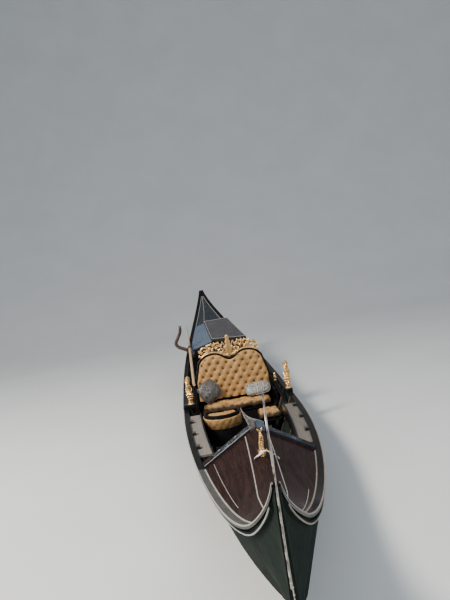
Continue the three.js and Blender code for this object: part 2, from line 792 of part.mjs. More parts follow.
// The rowlock: a walnut block with a bent arm and a notch, wedged in a socket on the gunwale.
function forcola() {
  const { x, y, rows, notch, notchAt } = FORCOLA;
  const foot = [x, edgeY(x, "starboard") + y, sheerZ(x)];
  const hole = new THREE.CylinderGeometry(notch, notch, 600, 12).translate(...notchAt);
  const body = cut(limb(rows, 14, 8), hole).translate(...foot);
  const below = longPiece(x - 150, x + 150, (at) => {
    const z = sheerZ(at) + GAP;
    return [
      [foot[1] - 100, z - 200],
      [foot[1] + 100, z - 200],
      [foot[1] + 100, z],
      [foot[1] - 100, z],
    ];
  });
  return cut(body, below);
}
function forcolaBlock() {
  const { x, block } = FORCOLA;
  return longPiece(x - block.long / 2, x + block.long / 2, (at) => {
    const outer = capInnerY(at, "starboard") + 1;
    const top = sheerZ(at);
    return [
      [outer, top - block.deep],
      [outer + block.wide, top - block.deep],
      [outer + block.wide, top],
      [outer, top],
    ];
  });
}
function oar() {
  const { handle, run, sections } = OAR;
  const rows = sections.map(([d, wide, high]) => [...handle.map((v, i) => v + run[i] * d), wide, high]);
  return limb(rows, 16, 8, new THREE.Vector3(0, 1, 0));
}

// The passengers' seat: a frame with side arms, a lobed back, a padded back and a cushion.
function seatFrame() {
  const { y, wide, front, back, base, board, footY } = SEAT;
  const [y0, y1] = [y - wide / 2, y + wide / 2];
  const [f0, f1] = footY;
  const floor = FLOOR.under + FLOOR.thick + GAP;
  const panels = [
    box([back, y0, base - board], [front, y1, base]),
    box([front - board, f0, floor], [front, f1, base - 2]),
    box([back, f0, floor], [back + board, f1, base - 2]),
    box([back, f0, floor], [front, f0 + board, base - 2]),
    box([back, f1 - board, floor], [front, f1, base - 2]),
  ];
  const arms = [armRail(y0 - ARM.out, 1), armRail(y1 + ARM.out, -1)];
  return join(...panels, ...arms);
}
// One arm stands outside the top board, which its foot crosses; inward is the way to that board.
function armRail(y, inward) {
  const { front, back, base } = SEAT;
  const { side, bracket, stay } = ARM;
  const reach = ARM.out + bracket.lap;
  const foot = inward > 0 ? [y - side.half, y + reach] : [y - reach, y + side.half];
  const panel = box(
    [back + side.fromBack, y - side.half, base + side.low],
    [front - side.fromFront, y + side.half, base + side.high],
  );
  const step = box(
    [back + bracket.fromBack, foot[0], base + bracket.low],
    [front - bracket.fromFront, foot[1], base + bracket.high],
  );
  const rows = ARM.rail.map(([x, offset, z, wide, high]) => [x, y + inward * offset, z, wide, high]);
  const rail = limb(rows, 10, 8, new THREE.Vector3(0, 1, 0));
  const prop = box([stay.from, y - stay.half, base + stay.low], [stay.to, y + stay.half, stay.top]);
  return join(panel, step, rail, prop);
}
function backOutline(inset, foot) {
  const { y } = SEAT;
  const { footHalf, topHalf, waist, shoulder, lobe, dip } = BACK;
  const [swell, crown, neck] = lobe;
  const [fall, middle] = dip;
  const s = new THREE.Shape();
  s.moveTo(y - footHalf + inset, foot);
  s.lineTo(y - footHalf + inset, waist);
  s.lineTo(y - topHalf + inset, shoulder - inset);
  s.bezierCurveTo(
    y - swell[0] + inset, swell[1] - inset, y - crown[0], crown[1] - inset, y - neck[0], neck[1] - inset,
  );
  s.quadraticCurveTo(y - fall[0], fall[1] - inset, y + middle[0], middle[1] - inset);
  s.quadraticCurveTo(y + fall[0], fall[1] - inset, y + neck[0], neck[1] - inset);
  s.bezierCurveTo(
    y + crown[0], crown[1] - inset, y + swell[0] - inset, swell[1] - inset,
    y + topHalf - inset, shoulder - inset,
  );
  s.lineTo(y + footHalf - inset, waist);
  s.lineTo(y + footHalf - inset, foot);
  return s;
}
// Stands an outline in Y and Z upright, with its front face at x and its thickness going aft.
function upright(shape, thick, x) {
  return new THREE.ExtrudeGeometry(shape, { depth: thick, bevelEnabled: false, curveSegments: 5 })
    .rotateX(Math.PI / 2)
    .rotateZ(Math.PI / 2)
    .translate(x - thick, 0, 0);
}
// A board with a raised rim round its front, open below, and the pad that fills the rim.
function seatBack() {
  const { front, rimDeep, thick, rim } = BACK;
  const block = upright(backOutline(0, SEAT.base + GAP), rimDeep + thick, front - BACK.proud);
  return cut(block, upright(backOutline(rim, SEAT.base - 20), rimDeep, front - BACK.proud + 1));
}
function backPad() {
  const { front, rimDeep, rim, proud } = BACK;
  return upright(backOutline(rim + 1, SEAT.base + SEAT.cushion), rimDeep + proud - 2, front);
}
// The carved crest is mirrored about the seat's middle and cut to sit on the back's rim.
function crest() {
  const { y } = SEAT;
  const half = new THREE.Path();
  half.moveTo(...CREST.foot);
  half.lineTo(...CREST.shoulder);
  CREST.scrolls.forEach((points) => half.bezierCurveTo(...points.flat()));
  half.lineTo(...CREST.top);
  const right = half.getPoints(5).map((p) => [p.x, p.y]);
  const left = right.map(([u, z]) => [-u, z]).reverse();
  const whole = outline([...right, ...left].map(([u, z]) => [y + u, z]));
  const board = upright(whole, CREST.thick, BACK.front - BACK.proud - CREST.back);
  return cut(board, upright(backOutline(-GAP, SEAT.base), 200, BACK.front + 60));
}
// A padded cushion: a rounded slab.
function pad(cx, cy, z0, wide, long, thick, radius) {
  return slab(roundedRect(wide, long, radius), z0, z0 + thick, Math.min(22, thick / 3)).translate(cx, cy, 0);
}
// A pillow stands on the seat cushion and leans back against the padded back.
function pillow(side) {
  const p = new THREE.SphereGeometry(1, 12, 8);
  const positions = p.getAttribute("position");
  const soft = (v) => Math.sign(v) * Math.pow(Math.abs(v), 0.6);
  const { y, thick, high, wide, tilt, turn } = PILLOW[side];
  for (let i = 0; i < positions.count; i++) {
    const [u, v, w] = [positions.getX(i), positions.getY(i), positions.getZ(i)].map(soft);
    positions.setXYZ(i, (u * thick) / 2, (v * high) / 2, (w * wide) / 2);
  }
  const solid = toGeometry(toSolid(p)).rotateX(Math.PI / 2).rotateY(tilt).rotateZ(turn);
  solid.computeBoundingBox();
  const { min } = solid.boundingBox;
  const top = SEAT.base + SEAT.cushion - GAP;
  return solid.translate(BACK.front + GAP - min.x, y, top + GAP - min.z);
}

// The loose armchair: a barrel shell open to aft, on four feet, with an upholstered seat.
function barrelOutline(inset) {
  const { x, y, wide, deep } = CHAIR;
  const s = new THREE.Shape();
  s.moveTo(x - deep / 2, y - wide / 2 + inset);
  s.lineTo(x, y - wide / 2 + inset);
  s.absellipse(x, y, deep / 2 - inset, wide / 2 - inset, -Math.PI / 2, Math.PI / 2, false, 0);
  s.lineTo(x - deep / 2, y + wide / 2 - inset);
  return s;
}
function chairFrame() {
  const { x, y, wide, deep, seat, rim } = CHAIR;
  const floor = FLOOR.under + FLOOR.thick + GAP;
  const outer = new THREE.Shape();
  outer.moveTo(x - deep / 2, y - wide / 2);
  outer.lineTo(x, y - wide / 2);
  outer.absellipse(x, y, deep / 2, wide / 2, -Math.PI / 2, Math.PI / 2, false, 0);
  outer.lineTo(x - deep / 2, y + wide / 2);
  outer.lineTo(x - deep / 2, y + wide / 2 - CHAIR.wall);
  outer.lineTo(x, y + wide / 2 - CHAIR.wall);
  outer.absellipse(x, y, deep / 2 - CHAIR.wall, wide / 2 - CHAIR.wall, Math.PI / 2, -Math.PI / 2, true, 0);
  outer.lineTo(x - deep / 2, y - wide / 2 + CHAIR.wall);
  const shell = slab(outer, seat - 90, rim);
  const base = slab(barrelOutline(0), seat - 90, seat - 30);
  const feet = [
    [-1, -1],
    [-1, 1],
    [1, -1],
    [1, 1],
  ].map(([u, v]) =>
    box(
      [x + u * (deep / 2 - 60) - 20, y + v * (wide / 2 - 70) - 20, floor],
      [x + u * (deep / 2 - 60) + 20, y + v * (wide / 2 - 70) + 20, seat - 60],
    ),
  );
  return join(shell, base, ...feet);
}
function stoolFrame() {
  const { x, y, wide, long, top, pad: thick } = STOOL;
  const floor = FLOOR.under + FLOOR.thick + GAP;
  const deck = top - thick - GAP;
  const plate = slab(roundedRect(wide - 20, long - 20, 20), deck - 24, deck).translate(x, y, 0);
  const legs = [-1, 1].flatMap((u) =>
    STOOL.legs.map((v) => {
      const [cx, cy] = [x + u * (wide / 2 - 40), y + v];
      return box([cx - 17, cy - 17, floor], [cx + 17, cy + 17, deck - 10]);
    }),
  );
  return join(plate, ...legs);
}

// A turned brass figure on a black block that sits on the gunwale cap. A block's middle is a distance
// outboard of the cap's inner edge, and the figure stands a little inboard of that middle.
function figurePlace(side, inboard) {
  return capInnerY(FIGURE.x, side) + SIDES[side].sign * (FIGURE[side].middle - inboard);
}
function brassFigure(side) {
  const base = sheerZ(FIGURE.x) + FIGURE.block.high + GAP;
  return turned(FIGURE.profile).translate(FIGURE.x, figurePlace(side, FIGURE[side].inboard), base);
}
function figureBlock(side) {
  const { long, high, radius, lift } = FIGURE.block;
  const z = sheerZ(FIGURE.x);
  const plan = roundedRect(long, FIGURE[side].wide, radius);
  return slab(plan, z + lift, z + high).translate(FIGURE.x, figurePlace(side, 0), 0);
}
function sideBoard(side, low, high) {
  const sign = SIDES[side].sign;
  return longPiece(low, high, (x) => {
    const outer = capInnerY(x, side) - sign * GAP;
    const inner = outer - sign * SIDE_BOARD.wide;
    const top = sheerZ(x) - SIDE_BOARD.drop;
    return [
      [inner, top - SIDE_BOARD.thick],
      [outer, top - SIDE_BOARD.thick],
      [outer, top],
      [inner, top],
    ];
  });
}

// The gilt ornament on the bow deck's ridge, and the steel horn that stands there before the beams.
function bowOrnament() {
  const { x, seated, profile } = ORNAMENT;
  const z = ridgeZ(x) + BOW_DECK.proud;
  const figure = turned(profile).translate(x, middleY(x), z - seated);
  return cut(figure, bowRidge().translate(0, 0, GAP));
}
function horn() {
  const { clear, thick, foot, outer, brow, tail } = HORN;
  const front = BOW_DECK.aft + BEAM.long + clear + thick;
  const s = new THREE.Shape();
  s.moveTo(...foot[0]);
  for (const curve of [outer, brow, tail]) s.bezierCurveTo(...curve.flat());
  s.lineTo(...foot[1]);
  const plate = upright(s, thick, front).translate(0, middleY(front), ridgeZ(front) + BOW_DECK.proud);
  return cut(plate, bowRidge().translate(0, 0, GAP));
}

function buildInside() {
  add("frames", frames(), INNER_WOOD);
  add("floorboards", floorPanel(-640, 2300, FLOOR.under, FLOOR.clear), INNER_WOOD);
  add("aft_floor", floorPanel(-2150, -662, FLOOR.aftUnder, FRAME.wide + GAP), INNER_WOOD);
  const underRidge = (x) => ridgeZ(x) - BOW_DECK.slope * ridgeHalf(x) - BOW_DECK.thick - 3;
  const bowLine = (x) => [
    [deckEdge(x, "port") - 2, sheerZ(x) - CAP.thick - 2],
    [deckEdge(x, "port") - 2, sheerZ(x) - BOW_DECK.thick - 1],
    [middleY(x) + ridgeHalf(x), underRidge(x)],
    [middleY(x) - ridgeHalf(x), underRidge(x)],
    [deckEdge(x, "starboard") + 2, sheerZ(x) - BOW_DECK.thick - 1],
    [deckEdge(x, "starboard") + 2, sheerZ(x) - CAP.thick - 2],
  ];
  add("bow_bulkhead", bulkhead(2570, bowLine), BLACK_PAINT);
  const sternLine = (x) => [
    [deckEdge(x, "port"), sheerZ(x) - CAP.thick - 2],
    [deckEdge(x, "port"), sheerZ(x) - STERN_DECK.thick - GAP],
    [sternEdgeY(x), sternEdgeZ(x) - STERN_DECK.thick - 2],
    [deckEdge(x, "starboard"), sheerZ(x) - STERN_DECK.thick - GAP],
    [deckEdge(x, "starboard"), sheerZ(x) - CAP.thick - 2],
  ];
  add("stern_bulkhead", bulkhead(-3000 - BULKHEAD, sternLine), BLACK_PAINT);
}
function buildDecks() {
  for (const side of ["port", "starboard"]) {
    add(`bow_deck_${side}`, bowPanel(side), LACQUER);
    add(`bow_beam_${side}`, bowBeam(side), LACQUER);
    add(`stern_deck_${side}`, sternPanel(side, CARVED_PLATE.fore + 1, STERN_DECK.fore), LACQUER);
  }
  add("bow_deck_ridge", bowRidge(), LACQUER);
  add("stern_deck_plate", sternPlate(), LACQUER);
  add("rowing_mat_board", matBoard(), GREY_MAT);
}
function buildFittings() {
  add("ferro_bow", bowIron(), STEEL);
  add("ferro_stern", sternIron(), STEEL);
  add("side_board_port", sideBoard("port", 700, 2230), GREY_BOARD);
  add("side_board_starboard", sideBoard("starboard", 530, 2070), GREY_BOARD);
  for (const side of ["port", "starboard"]) {
    add(`figure_block_${side}`, figureBlock(side), BLACK_PAINT);
    add(`brass_figure_${side}`, brassFigure(side), GILT);
  }
  add("bow_ornament", bowOrnament(), GILT);
  add("bow_horn", horn(), STEEL);
  add("forcola", forcola(), WALNUT);
  add("forcola_block", forcolaBlock(), BLACK_PAINT);
  add("oar", oar(), ASH);
}
function buildFurniture() {
  add("seat_frame", seatFrame(), LACQUER);
  add("seat_back", seatBack(), LACQUER);
  add("seat_back_pad", backPad(), BROCADE);
  add("seat_back_crest", crest(), GILT);
  const seatX = (BACK.front + SEAT.front) / 2;
  const long = SEAT.front - BACK.front;
  add(
    "seat_cushion",
    pad(seatX, SEAT.y, SEAT.base + GAP, long, SEAT.wide - 60, SEAT.cushion - 2 * GAP, 50),
    BROCADE,
  );
  for (const side of Object.keys(PILLOW)) add(`pillow_${side}`, pillow(side), SILVER_CLOTH);
  add("armchair_frame", chairFrame(), LACQUER);
  const cushion = slab(barrelOutline(CHAIR.wall + 2), CHAIR.seat - 30 + GAP, CHAIR.seat + CHAIR.pad, 12);
  add("armchair_cushion", cushion, BROCADE);
  add("stool_frame", stoolFrame(), LACQUER);
  add(
    "stool_cushion",
    pad(STOOL.x, STOOL.y, STOOL.top - STOOL.pad, STOOL.wide, STOOL.long, STOOL.pad, 50),
    BROCADE,
  );
}

buildShell();
buildInside();
buildDecks();
buildFittings();
buildFurniture();
export default boat;
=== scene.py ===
import math

import bmesh
import bpy
from mathutils import Matrix, Vector, noise


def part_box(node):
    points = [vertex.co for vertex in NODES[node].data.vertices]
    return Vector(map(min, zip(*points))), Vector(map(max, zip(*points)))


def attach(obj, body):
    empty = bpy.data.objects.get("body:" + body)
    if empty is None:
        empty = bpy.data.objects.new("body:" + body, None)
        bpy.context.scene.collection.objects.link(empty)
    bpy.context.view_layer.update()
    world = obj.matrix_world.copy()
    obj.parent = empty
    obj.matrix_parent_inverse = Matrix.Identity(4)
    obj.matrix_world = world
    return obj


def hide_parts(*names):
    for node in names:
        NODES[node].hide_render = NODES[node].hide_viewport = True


bl_info = {
    "name": "Gondola Boat",
    "version": (1, 0, 0),
    "blender": (4, 5, 0),
    "location": "3D View > Sidebar > Gondola",
    "description": "Dresses the packed gondola with its planking, carving, upholstery and ironwork",
    "category": "Object",
}

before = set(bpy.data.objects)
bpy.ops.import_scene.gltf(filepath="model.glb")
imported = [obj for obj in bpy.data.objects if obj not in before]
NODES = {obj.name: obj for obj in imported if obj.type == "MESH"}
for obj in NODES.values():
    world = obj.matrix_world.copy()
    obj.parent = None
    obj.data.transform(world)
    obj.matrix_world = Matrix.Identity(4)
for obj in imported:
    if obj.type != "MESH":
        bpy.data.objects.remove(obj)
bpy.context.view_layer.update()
SIDES = ("port", "starboard")
SIGN = {"port": 1, "starboard": -1}

# The hull's form in metres: +X to the bow, +Y to port, Z = 0 at the waterline.
STERN_X, BOW_X, DEEPEST_X = -5.42, 5.194, 0.6
DRAUGHT, END_HALF = 0.19, 0.03
BREADTH = {
    "port": {"beam": 0.836, "widest": 0.139, "bow": (2.507, 1.274), "stern": (3.0, 1.38)},
    "starboard": {"beam": 0.526, "widest": -0.507, "bow": (2.6, 1.483), "stern": (2.751, 1.233)},
}
SHEER_LOW, SHEER_LOW_X = 0.441, 1.211
SHEER_BOW, SHEER_STERN = (1.305, 4.69), (1.721, 3.28)
KEEL_BOW, KEEL_STERN = (4.5, 0.5), (2.3, 0.6)
KEEL_OFFSET, KEEL_ROUND, POST_SKEW, POST_TAPER = 0.14, 0.01, 0.115, 0.04
CHINE = {"half": 0.43, "middle": 0.2, "bow": 4.2, "stern": -4.45, "power": 2.2, "fullness": 1.05}
# Towards the stem iron each side draws in more sharply than the solids' sides do.
PINCH_FROM, PINCH_LONG, PINCH_DEEP, CHINE_PINCH = 4.62, 0.5, 0.022, 0.6
GAP, PLANK, BOTTOM = 0.0004, 0.016, 0.02
CAP_WIDE, CAP_THICK, CAP_OVER, CAP_ENDS = 0.058, 0.024, 0.008, (-5.385, 5.15)
RAIL_DROP, RAIL_BOW_RISE, RAIL_HIGH, RAIL_THICK = 0.044, 0.008, 0.03, 0.02
RAIL_ENDS, RAIL_EDGING_FORE, JOINT_ENDS = (-5.22, 5.06), 5.05, (2.56, 4.95)
DECK_SLOPE, DECK_THICK, DECK_AFT, DECK_FORE = 0.59, 0.016, 2.541, 4.86
RIDGE_HALF, RIDGE_SHARE = 0.095, 0.3
BEAM_AFT, BEAM_LONG, BEAM_PROUD, BEAM_DEEP, BEAM_END = 2.43, 0.11, 0.026, 0.046, 0.09
# A beam's run along its slope over its run across the boat, and the rim round its carving.
BEAM_SLANT, BEAM_RIM, BEAM_COLUMNS, BEAM_ROWS = 1.16, 0.012, 120, 26
STERN_FORE, PLATE_FORE, PLATE_AFT = -2.98, -4.03, -5.18
PLATE_COLUMNS, PLATE_ROWS = 150, 28
# The stern deck's raised edge at one station: its y, its lift over the sheer, and their slopes.
EDGE_X, EDGE_Y, EDGE_LIFT, EDGE_DRIFT, EDGE_RISE = -4.0, -0.064, 0.062, 0.07, 0.05
SIDE_BOARD_WIDE, NOTCHES, NOTCH_HALF = 0.134, (0.84, 1.34, 1.84), 0.035
SCREW_STEP, SCREW_ROWS = 0.24, (0.022, 0.112)
MAT_AFT, MAT_FORE = -4.0, -3.0
FLOOR_TOP, FLOOR_BOARD, FLOOR_SEAM = -0.062, 0.018, 0.0025
# The bow iron's nails: the first one's x, their spacing and number, and how high they go.
NAIL_X, NAIL_STEP, NAIL_COUNT, NAIL_TOP = 4.12, 0.043, 22, 0.78
# The finish of each gunwale's edging, and where it starts; aft of that the lip is black. The pale
# starboard strip is partly wear and partly a painted highlight; the port strip's darker brown is
# painted shade.
EDGING = {"starboard": ("edging", 0.25), "port": ("edging_port", -4.3)}
# A lighter matte grey stretch of the starboard gunwale's top, from the beams to the bow's curve.
WORN_CAP = (2.56, 4.3)

# The passengers' seat: its back, its lobed top and its box.
SEAT_Y, SEAT_BASE, SEAT_BACK_X, SEAT_FRONT_X = 0.17, 0.215, -0.64, -0.15
BACK_FRONT, BACK_REAR, BACK_FOOT, BACK_INSET = -0.5, -0.584, 0.34, 0.022
BACK_FOOT_HALF, BACK_TOP_HALF, BACK_STRAIGHT_Z, BACK_LOBE_Z = 0.535, 0.46, 0.6, 0.88
BUTTON_Z, LOBE_STEPS, BEAD_INSET = 0.42, 28, 0.009
# The crest on one side of its middle, as y and z: scrolls, the limb below them, and leaves.
CREST_X, CREST_LEAF, LEAF_LOBES = -0.536, 0.014, 5
CREST_SCROLLS = (
    ((0.345, 1.02), 3.3, 1.3, 0.068, -1, 0.017, 0.018),
    ((0.245, 1.065), -0.9, 1.25, 0.055, 1, 0.015, 0.017),
    ((0.165, 1.075), 3.4, 1.2, 0.045, -1, 0.013, 0.016),
    ((0.1, 1.0), -1.2, 1.1, 0.04, 1, 0.012, 0.015),
    ((0.385, 0.955), 1.4, 0.9, 0.04, 1, 0.013, 0.014),
)
CREST_LIMB = ((0.4, 0.93, 0.02, 0.017), (0.36, 0.965, 0.021, 0.02), (0.27, 0.99, 0.02, 0.02),
              (0.18, 0.985, 0.019, 0.02), (0.1, 0.95, 0.017, 0.02), (0.03, 0.925, 0.015, 0.02))
CREST_LEAVES = (
    (0.39, 0.99, 0.432, 1.055, 0.02), (0.33, 1.07, 0.375, 1.092, 0.018),
    (0.3, 1.05, 0.3, 1.122, 0.021), (0.25, 1.09, 0.235, 1.14, 0.018),
    (0.2, 1.06, 0.195, 1.145, 0.02), (0.14, 1.09, 0.135, 1.145, 0.018),
    (0.11, 1.03, 0.085, 1.115, 0.018), (0.22, 1.0, 0.24, 1.045, 0.018),
    (0.32, 0.985, 0.29, 1.03, 0.018), (0.08, 0.95, 0.12, 0.99, 0.016),
    (0.41, 0.94, 0.43, 0.99, 0.014), (0.06, 1.0, 0.055, 1.07, 0.014),
    (0.27, 1.02, 0.27, 1.08, 0.018), (0.18, 1.02, 0.165, 1.075, 0.017),
    (0.36, 1.0, 0.4, 1.03, 0.018), (0.13, 0.96, 0.15, 1.03, 0.018),
    (0.03, 0.94, 0.1, 0.93, 0.016), (0.04, 1.06, 0.08, 1.135, 0.014),
)
# The turned vase in the crest's middle, as (radius, z), and how flat it is fore and aft.
VASE = ((0.02, 0.905), (0.046, 0.915), (0.056, 0.935), (0.034, 0.952), (0.046, 0.975),
        (0.06, 1.01), (0.062, 1.04), (0.046, 1.07), (0.03, 1.09), (0.038, 1.105),
        (0.042, 1.12), (0.03, 1.145), (0.024, 1.165), (0.03, 1.185), (0.026, 1.208),
        (0.01, 1.222))
VASE_FLAT = 0.021
# How cloth is swelled: frames, stiffness, and for pads the pressure and the farthest move.
SWELL_FRAMES, SWELL_STIFFNESS, PAD_PRESSURE, PAD_CAP = 18, 12.0, 3.0, 0.01
# How far a pillow's sides draw in between its corners.
PILLOW_DRAW = 0.34

# Loose furniture, figures and the oar
CHAIR_X, CHAIR_Y, CHAIR_WIDE, CHAIR_DEEP = 0.7, -0.09, 0.44, 0.42
CHAIR_RIM, CHAIR_WALL = 0.455, 0.026
STOOL_X, STOOL_Y, STOOL_HALF_X, STOOL_HALF_Y = 0.215, 0.53, 0.165, 0.155
FIGURE_X, FIGURE_SHIFT = 0.17, {"port": 0.029, "starboard": 0.04}
ORNAMENT_X, HORN_X, RIDGES = 3.2, 2.568, 13
OAR_HANDLE, OAR_RUN = (-0.5, -0.39, 0.5998), (-1.0, -0.0085, 0.0915)
OAR_SECTIONS = ((0, 0.014, 0.014), (0.02, 0.018, 0.018), (0.2, 0.021, 0.021), (2.1, 0.022, 0.022),
                (3.0, 0.019, 0.019), (3.15, 0.018, 0.02), (3.4, 0.012, 0.042),
                (3.7, 0.009, 0.062), (4.1, 0.007, 0.06), (4.15, 0.005, 0.052))

# The camera stands ahead of the bow, as the photograph's did; it is rolled because the boat heels.
CAMERA_AT = (7.587, -0.231, 2.233)
CAMERA_AXES = ((0.06554, 0.98607, -0.15290), (-0.05461, 0.15654, 0.98616), (0.99635, -0.05629, 0.06411))
CAMERA_LENS = 34.65
# The lamps: where each stands and aims, its size, its setting, its share of that, and its colour.
LAMPS = (
    ("key", (5.5, -7.5, 9.5), (0, 0, 0.3), 3.0, "key_power", 1.0, (1.0, 0.94, 0.84)),
    ("fill", (9.0, 5.0, 7.0), (1, 0, 0.4), 6.0, "fill_power", 1.0, (0.9, 0.95, 1.0)),
    ("side", (1.0, -11.0, 5.0), (0, 0, 0.4), 6.0, "fill_power", 0.6, (0.92, 0.96, 1.0)),
)
# The studio floor: flat rings, then a cove that rises from COVE_FROM with this radius.
FLAT_RINGS, COVE_FROM, COVE_RADIUS, COVE_STEPS = (6.5, 10.0), 16.0, 26.0, 40
WATERLINE_STEPS, STUDIO_Y = 110, 0.1
# Shares of even and of eased spacing between stations.
EVEN, EASED = 0.45, 0.55


def breadth(x, side):
    form = BREADTH[side]
    forward = x > form["widest"]
    end = BOW_X if forward else STERN_X
    t = min(1.0, (x - form["widest"]) / (end - form["widest"]))
    power, fullness = form["bow"] if forward else form["stern"]
    return END_HALF + form["beam"] * max(0.0, 1 - t**power) ** fullness


def pinch(x):
    """How far each side draws in towards the stem iron."""
    t = max(0.0, min(1.0, (x - PINCH_FROM) / PINCH_LONG))
    return PINCH_DEEP * t * t * (3 - 2 * t)


def edge_y(x, side):
    return SIGN[side] * (breadth(x, side) - pinch(x))


def middle_y(x):
    return (edge_y(x, "port") + edge_y(x, "starboard")) / 2


def mean_half(x):
    return (breadth(x, "port") + breadth(x, "starboard")) / 2


def sheer_z(x):
    end, (top, power) = (BOW_X, SHEER_BOW) if x > SHEER_LOW_X else (STERN_X, SHEER_STERN)
    t = (x - SHEER_LOW_X) / (end - SHEER_LOW_X)
    return SHEER_LOW + (top - SHEER_LOW) * t**power


def keel_z(x):
    forward = x > DEEPEST_X
    end, (power, curl) = (BOW_X, KEEL_BOW) if forward else (STERN_X, KEEL_STERN)
    top = SHEER_BOW[0] if forward else SHEER_STERN[0]
    t = min(1.0, (x - DEEPEST_X) / (end - DEEPEST_X))
    return (top + DRAUGHT) * (1 - (1 - t**power) ** curl) - DRAUGHT


def keel_y(x):
    reach = POST_SKEW * min(BOW_X - x, x - STERN_X)
    return (reach + KEEL_OFFSET - math.hypot(reach - KEEL_OFFSET, KEEL_ROUND)) / 2


def chine_half(x):
    end = CHINE["bow"] if x > CHINE["middle"] else CHINE["stern"]
    t = min(1.0, (x - CHINE["middle"]) / (end - CHINE["middle"]))
    full = CHINE["half"] * (1 - t ** CHINE["power"]) ** CHINE["fullness"]
    return END_HALF - pinch(x) * CHINE_PINCH + full


def outer_y(x, z, side):
    low = keel_z(x)
    chine = keel_y(x) + SIGN[side] * chine_half(x)
    return chine + (edge_y(x, side) - chine) * (z - low) / (sheer_z(x) - low)


def inner_y(x, z, side, inset=0.0):
    return outer_y(x, z, side) - SIGN[side] * (PLANK + inset)


def cap_wide(x):
    return min(CAP_WIDE, mean_half(x) - pinch(x) - GAP)


def cap_inner(x, side):
    return edge_y(x, side) - SIGN[side] * cap_wide(x)


def deck_edge(x, side):
    return cap_inner(x, side) - SIGN[side] * GAP


def ridge_half(x):
    return min(RIDGE_HALF, RIDGE_SHARE * mean_half(x))


def ridge_z(x):
    return sheer_z(x) + DECK_SLOPE * (mean_half(x) - cap_wide(x))


def rail_heights(x):
    high = sheer_z(x) - RAIL_DROP + RAIL_BOW_RISE * max(0.0, x / BOW_X) ** 4
    return high - RAIL_HIGH, high


def bow_deck(x, across, side):
    """A point of the bow deck's surface; across runs from 0 at the gunwale to 1 at the ridge board."""
    outer = deck_edge(x, side)
    inner = middle_y(x) + SIGN[side] * (ridge_half(x) + GAP)
    y = outer + (inner - outer) * across
    return y, sheer_z(x) + DECK_SLOPE * abs(y - outer)


def stern_edge(x):
    """The stern deck's raised edge, as (y, z)."""
    along = x - EDGE_X
    return EDGE_Y + EDGE_DRIFT * along, sheer_z(x) + EDGE_LIFT + EDGE_RISE * along


def stern_deck(x, across, side):
    outer = deck_edge(x, side)
    y, z = stern_edge(x)
    y += SIGN[side] * GAP
    return outer + (y - outer) * across, sheer_z(x) + (z - sheer_z(x)) * across


def stations(low, high, count):
    """Stations along X, closer together towards the ends of their stretch."""
    places = []
    for i in range(count + 1):
        t = i / count
        even = low + (high - low) * t
        eased = low + (high - low) * (1 - math.cos(math.pi * t)) / 2
        places.append(even * EVEN + eased * EASED)
    return places


# Meshes
def build(bm, name, look, smooth=34.0):
    """Turns a bmesh into an object in the scene, smooth but for its sharp edges."""
    bmesh.ops.recalc_face_normals(bm, faces=bm.faces)
    mesh = bpy.data.meshes.new(name)
    bm.to_mesh(mesh)
    bm.free()
    piece = bpy.data.objects.new(name, mesh)
    bpy.context.scene.collection.objects.link(piece)
    mesh.materials.append(look)
    mesh.shade_smooth()
    mesh.set_sharp_from_angle(angle=math.radians(smooth))
    return piece


def dress(piece, slot, *nodes):
    """Hangs a finished piece on the boat in place of the CAD nodes that it stands for."""
    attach(piece, "root")
    if nodes:
        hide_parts(*nodes)
    return piece


def loft_into(bm, rings):
    """Skins closed rings of equal length and caps both ends."""
    rows = [[bm.verts.new(p) for p in ring] for ring in rings]
    count = len(rows[0])
    for a, b in zip(rows, rows[1:]):
        for j in range(count):
            bm.faces.new((a[j], a[(j + 1) % count], b[(j + 1) % count], b[j]))
    bm.faces.new(rows[0])
    bm.faces.new(rows[-1][::-1])


def long_into(bm, xs, section):
    loft_into(bm, [[(x, y, z) for y, z in section(x)] for x in xs])


def skin_grid(bm, grid):
    """Fills the cells of a grid of points with faces."""
    for a, b in zip(grid, grid[1:]):
        for j in range(len(a) - 1):
            bm.faces.new((a[j], a[j + 1], b[j + 1], b[j]))


def skin_side(bm, grid, up):
    """Fills one side of a pad, with its faces turned up or down."""
    for a, b in zip(grid, grid[1:]):
        for j in range(len(a) - 1):
            cell = (a[j], b[j], b[j + 1], a[j + 1])
            bm.faces.new(cell if up else cell[::-1])


def close_sheet(bm, beyond):
    """Grows a sheet's border to where beyond puts each point, and fills the opening there."""
    grown = bmesh.ops.extrude_edge_only(bm, edges=[e for e in bm.edges if e.is_boundary])
    for vert in (v for v in grown["geom"] if isinstance(v, bmesh.types.BMVert)):
        vert.co = beyond(vert.co)
    bmesh.ops.holes_fill(bm, edges=[e for e in bm.edges if e.is_boundary], sides=0)


def worn_layer(bm):
    return bm.verts.layers.float.get("worn") or bm.verts.layers.float.new("worn")


def bevel_edges(bm, width, angle=28.0, segments=2):
    """Rounds the sharp edges and marks the new edge line for wear."""
    limit = math.radians(angle)
    sharp = [e for e in bm.edges if len(e.link_faces) == 2 and e.calc_face_angle(0) > limit]
    done = bmesh.ops.bevel(
        bm, geom=sharp, offset=width, offset_type="OFFSET", segments=segments,
        profile=0.55, affect="EDGES", clamp_overlap=True,
    )
    layer = worn_layer(bm)
    new = set(done["faces"])
    for vert in done["verts"]:
        if vert.is_valid and all(face in new for face in vert.link_faces):
            vert[layer] = 1.0
    return bm


def box_into(bm, low, high):
    (x0, y0, z0), (x1, y1, z1) = low, high
    ring = [(x0, y0), (x1, y0), (x1, y1), (x0, y1)]
    loft_into(bm, [[(x, y, z) for x, y in ring] for z in (z0, z1)])


def angles(count, shift=0.0):
    return [2 * math.pi * (k + shift) / count for k in range(count)]


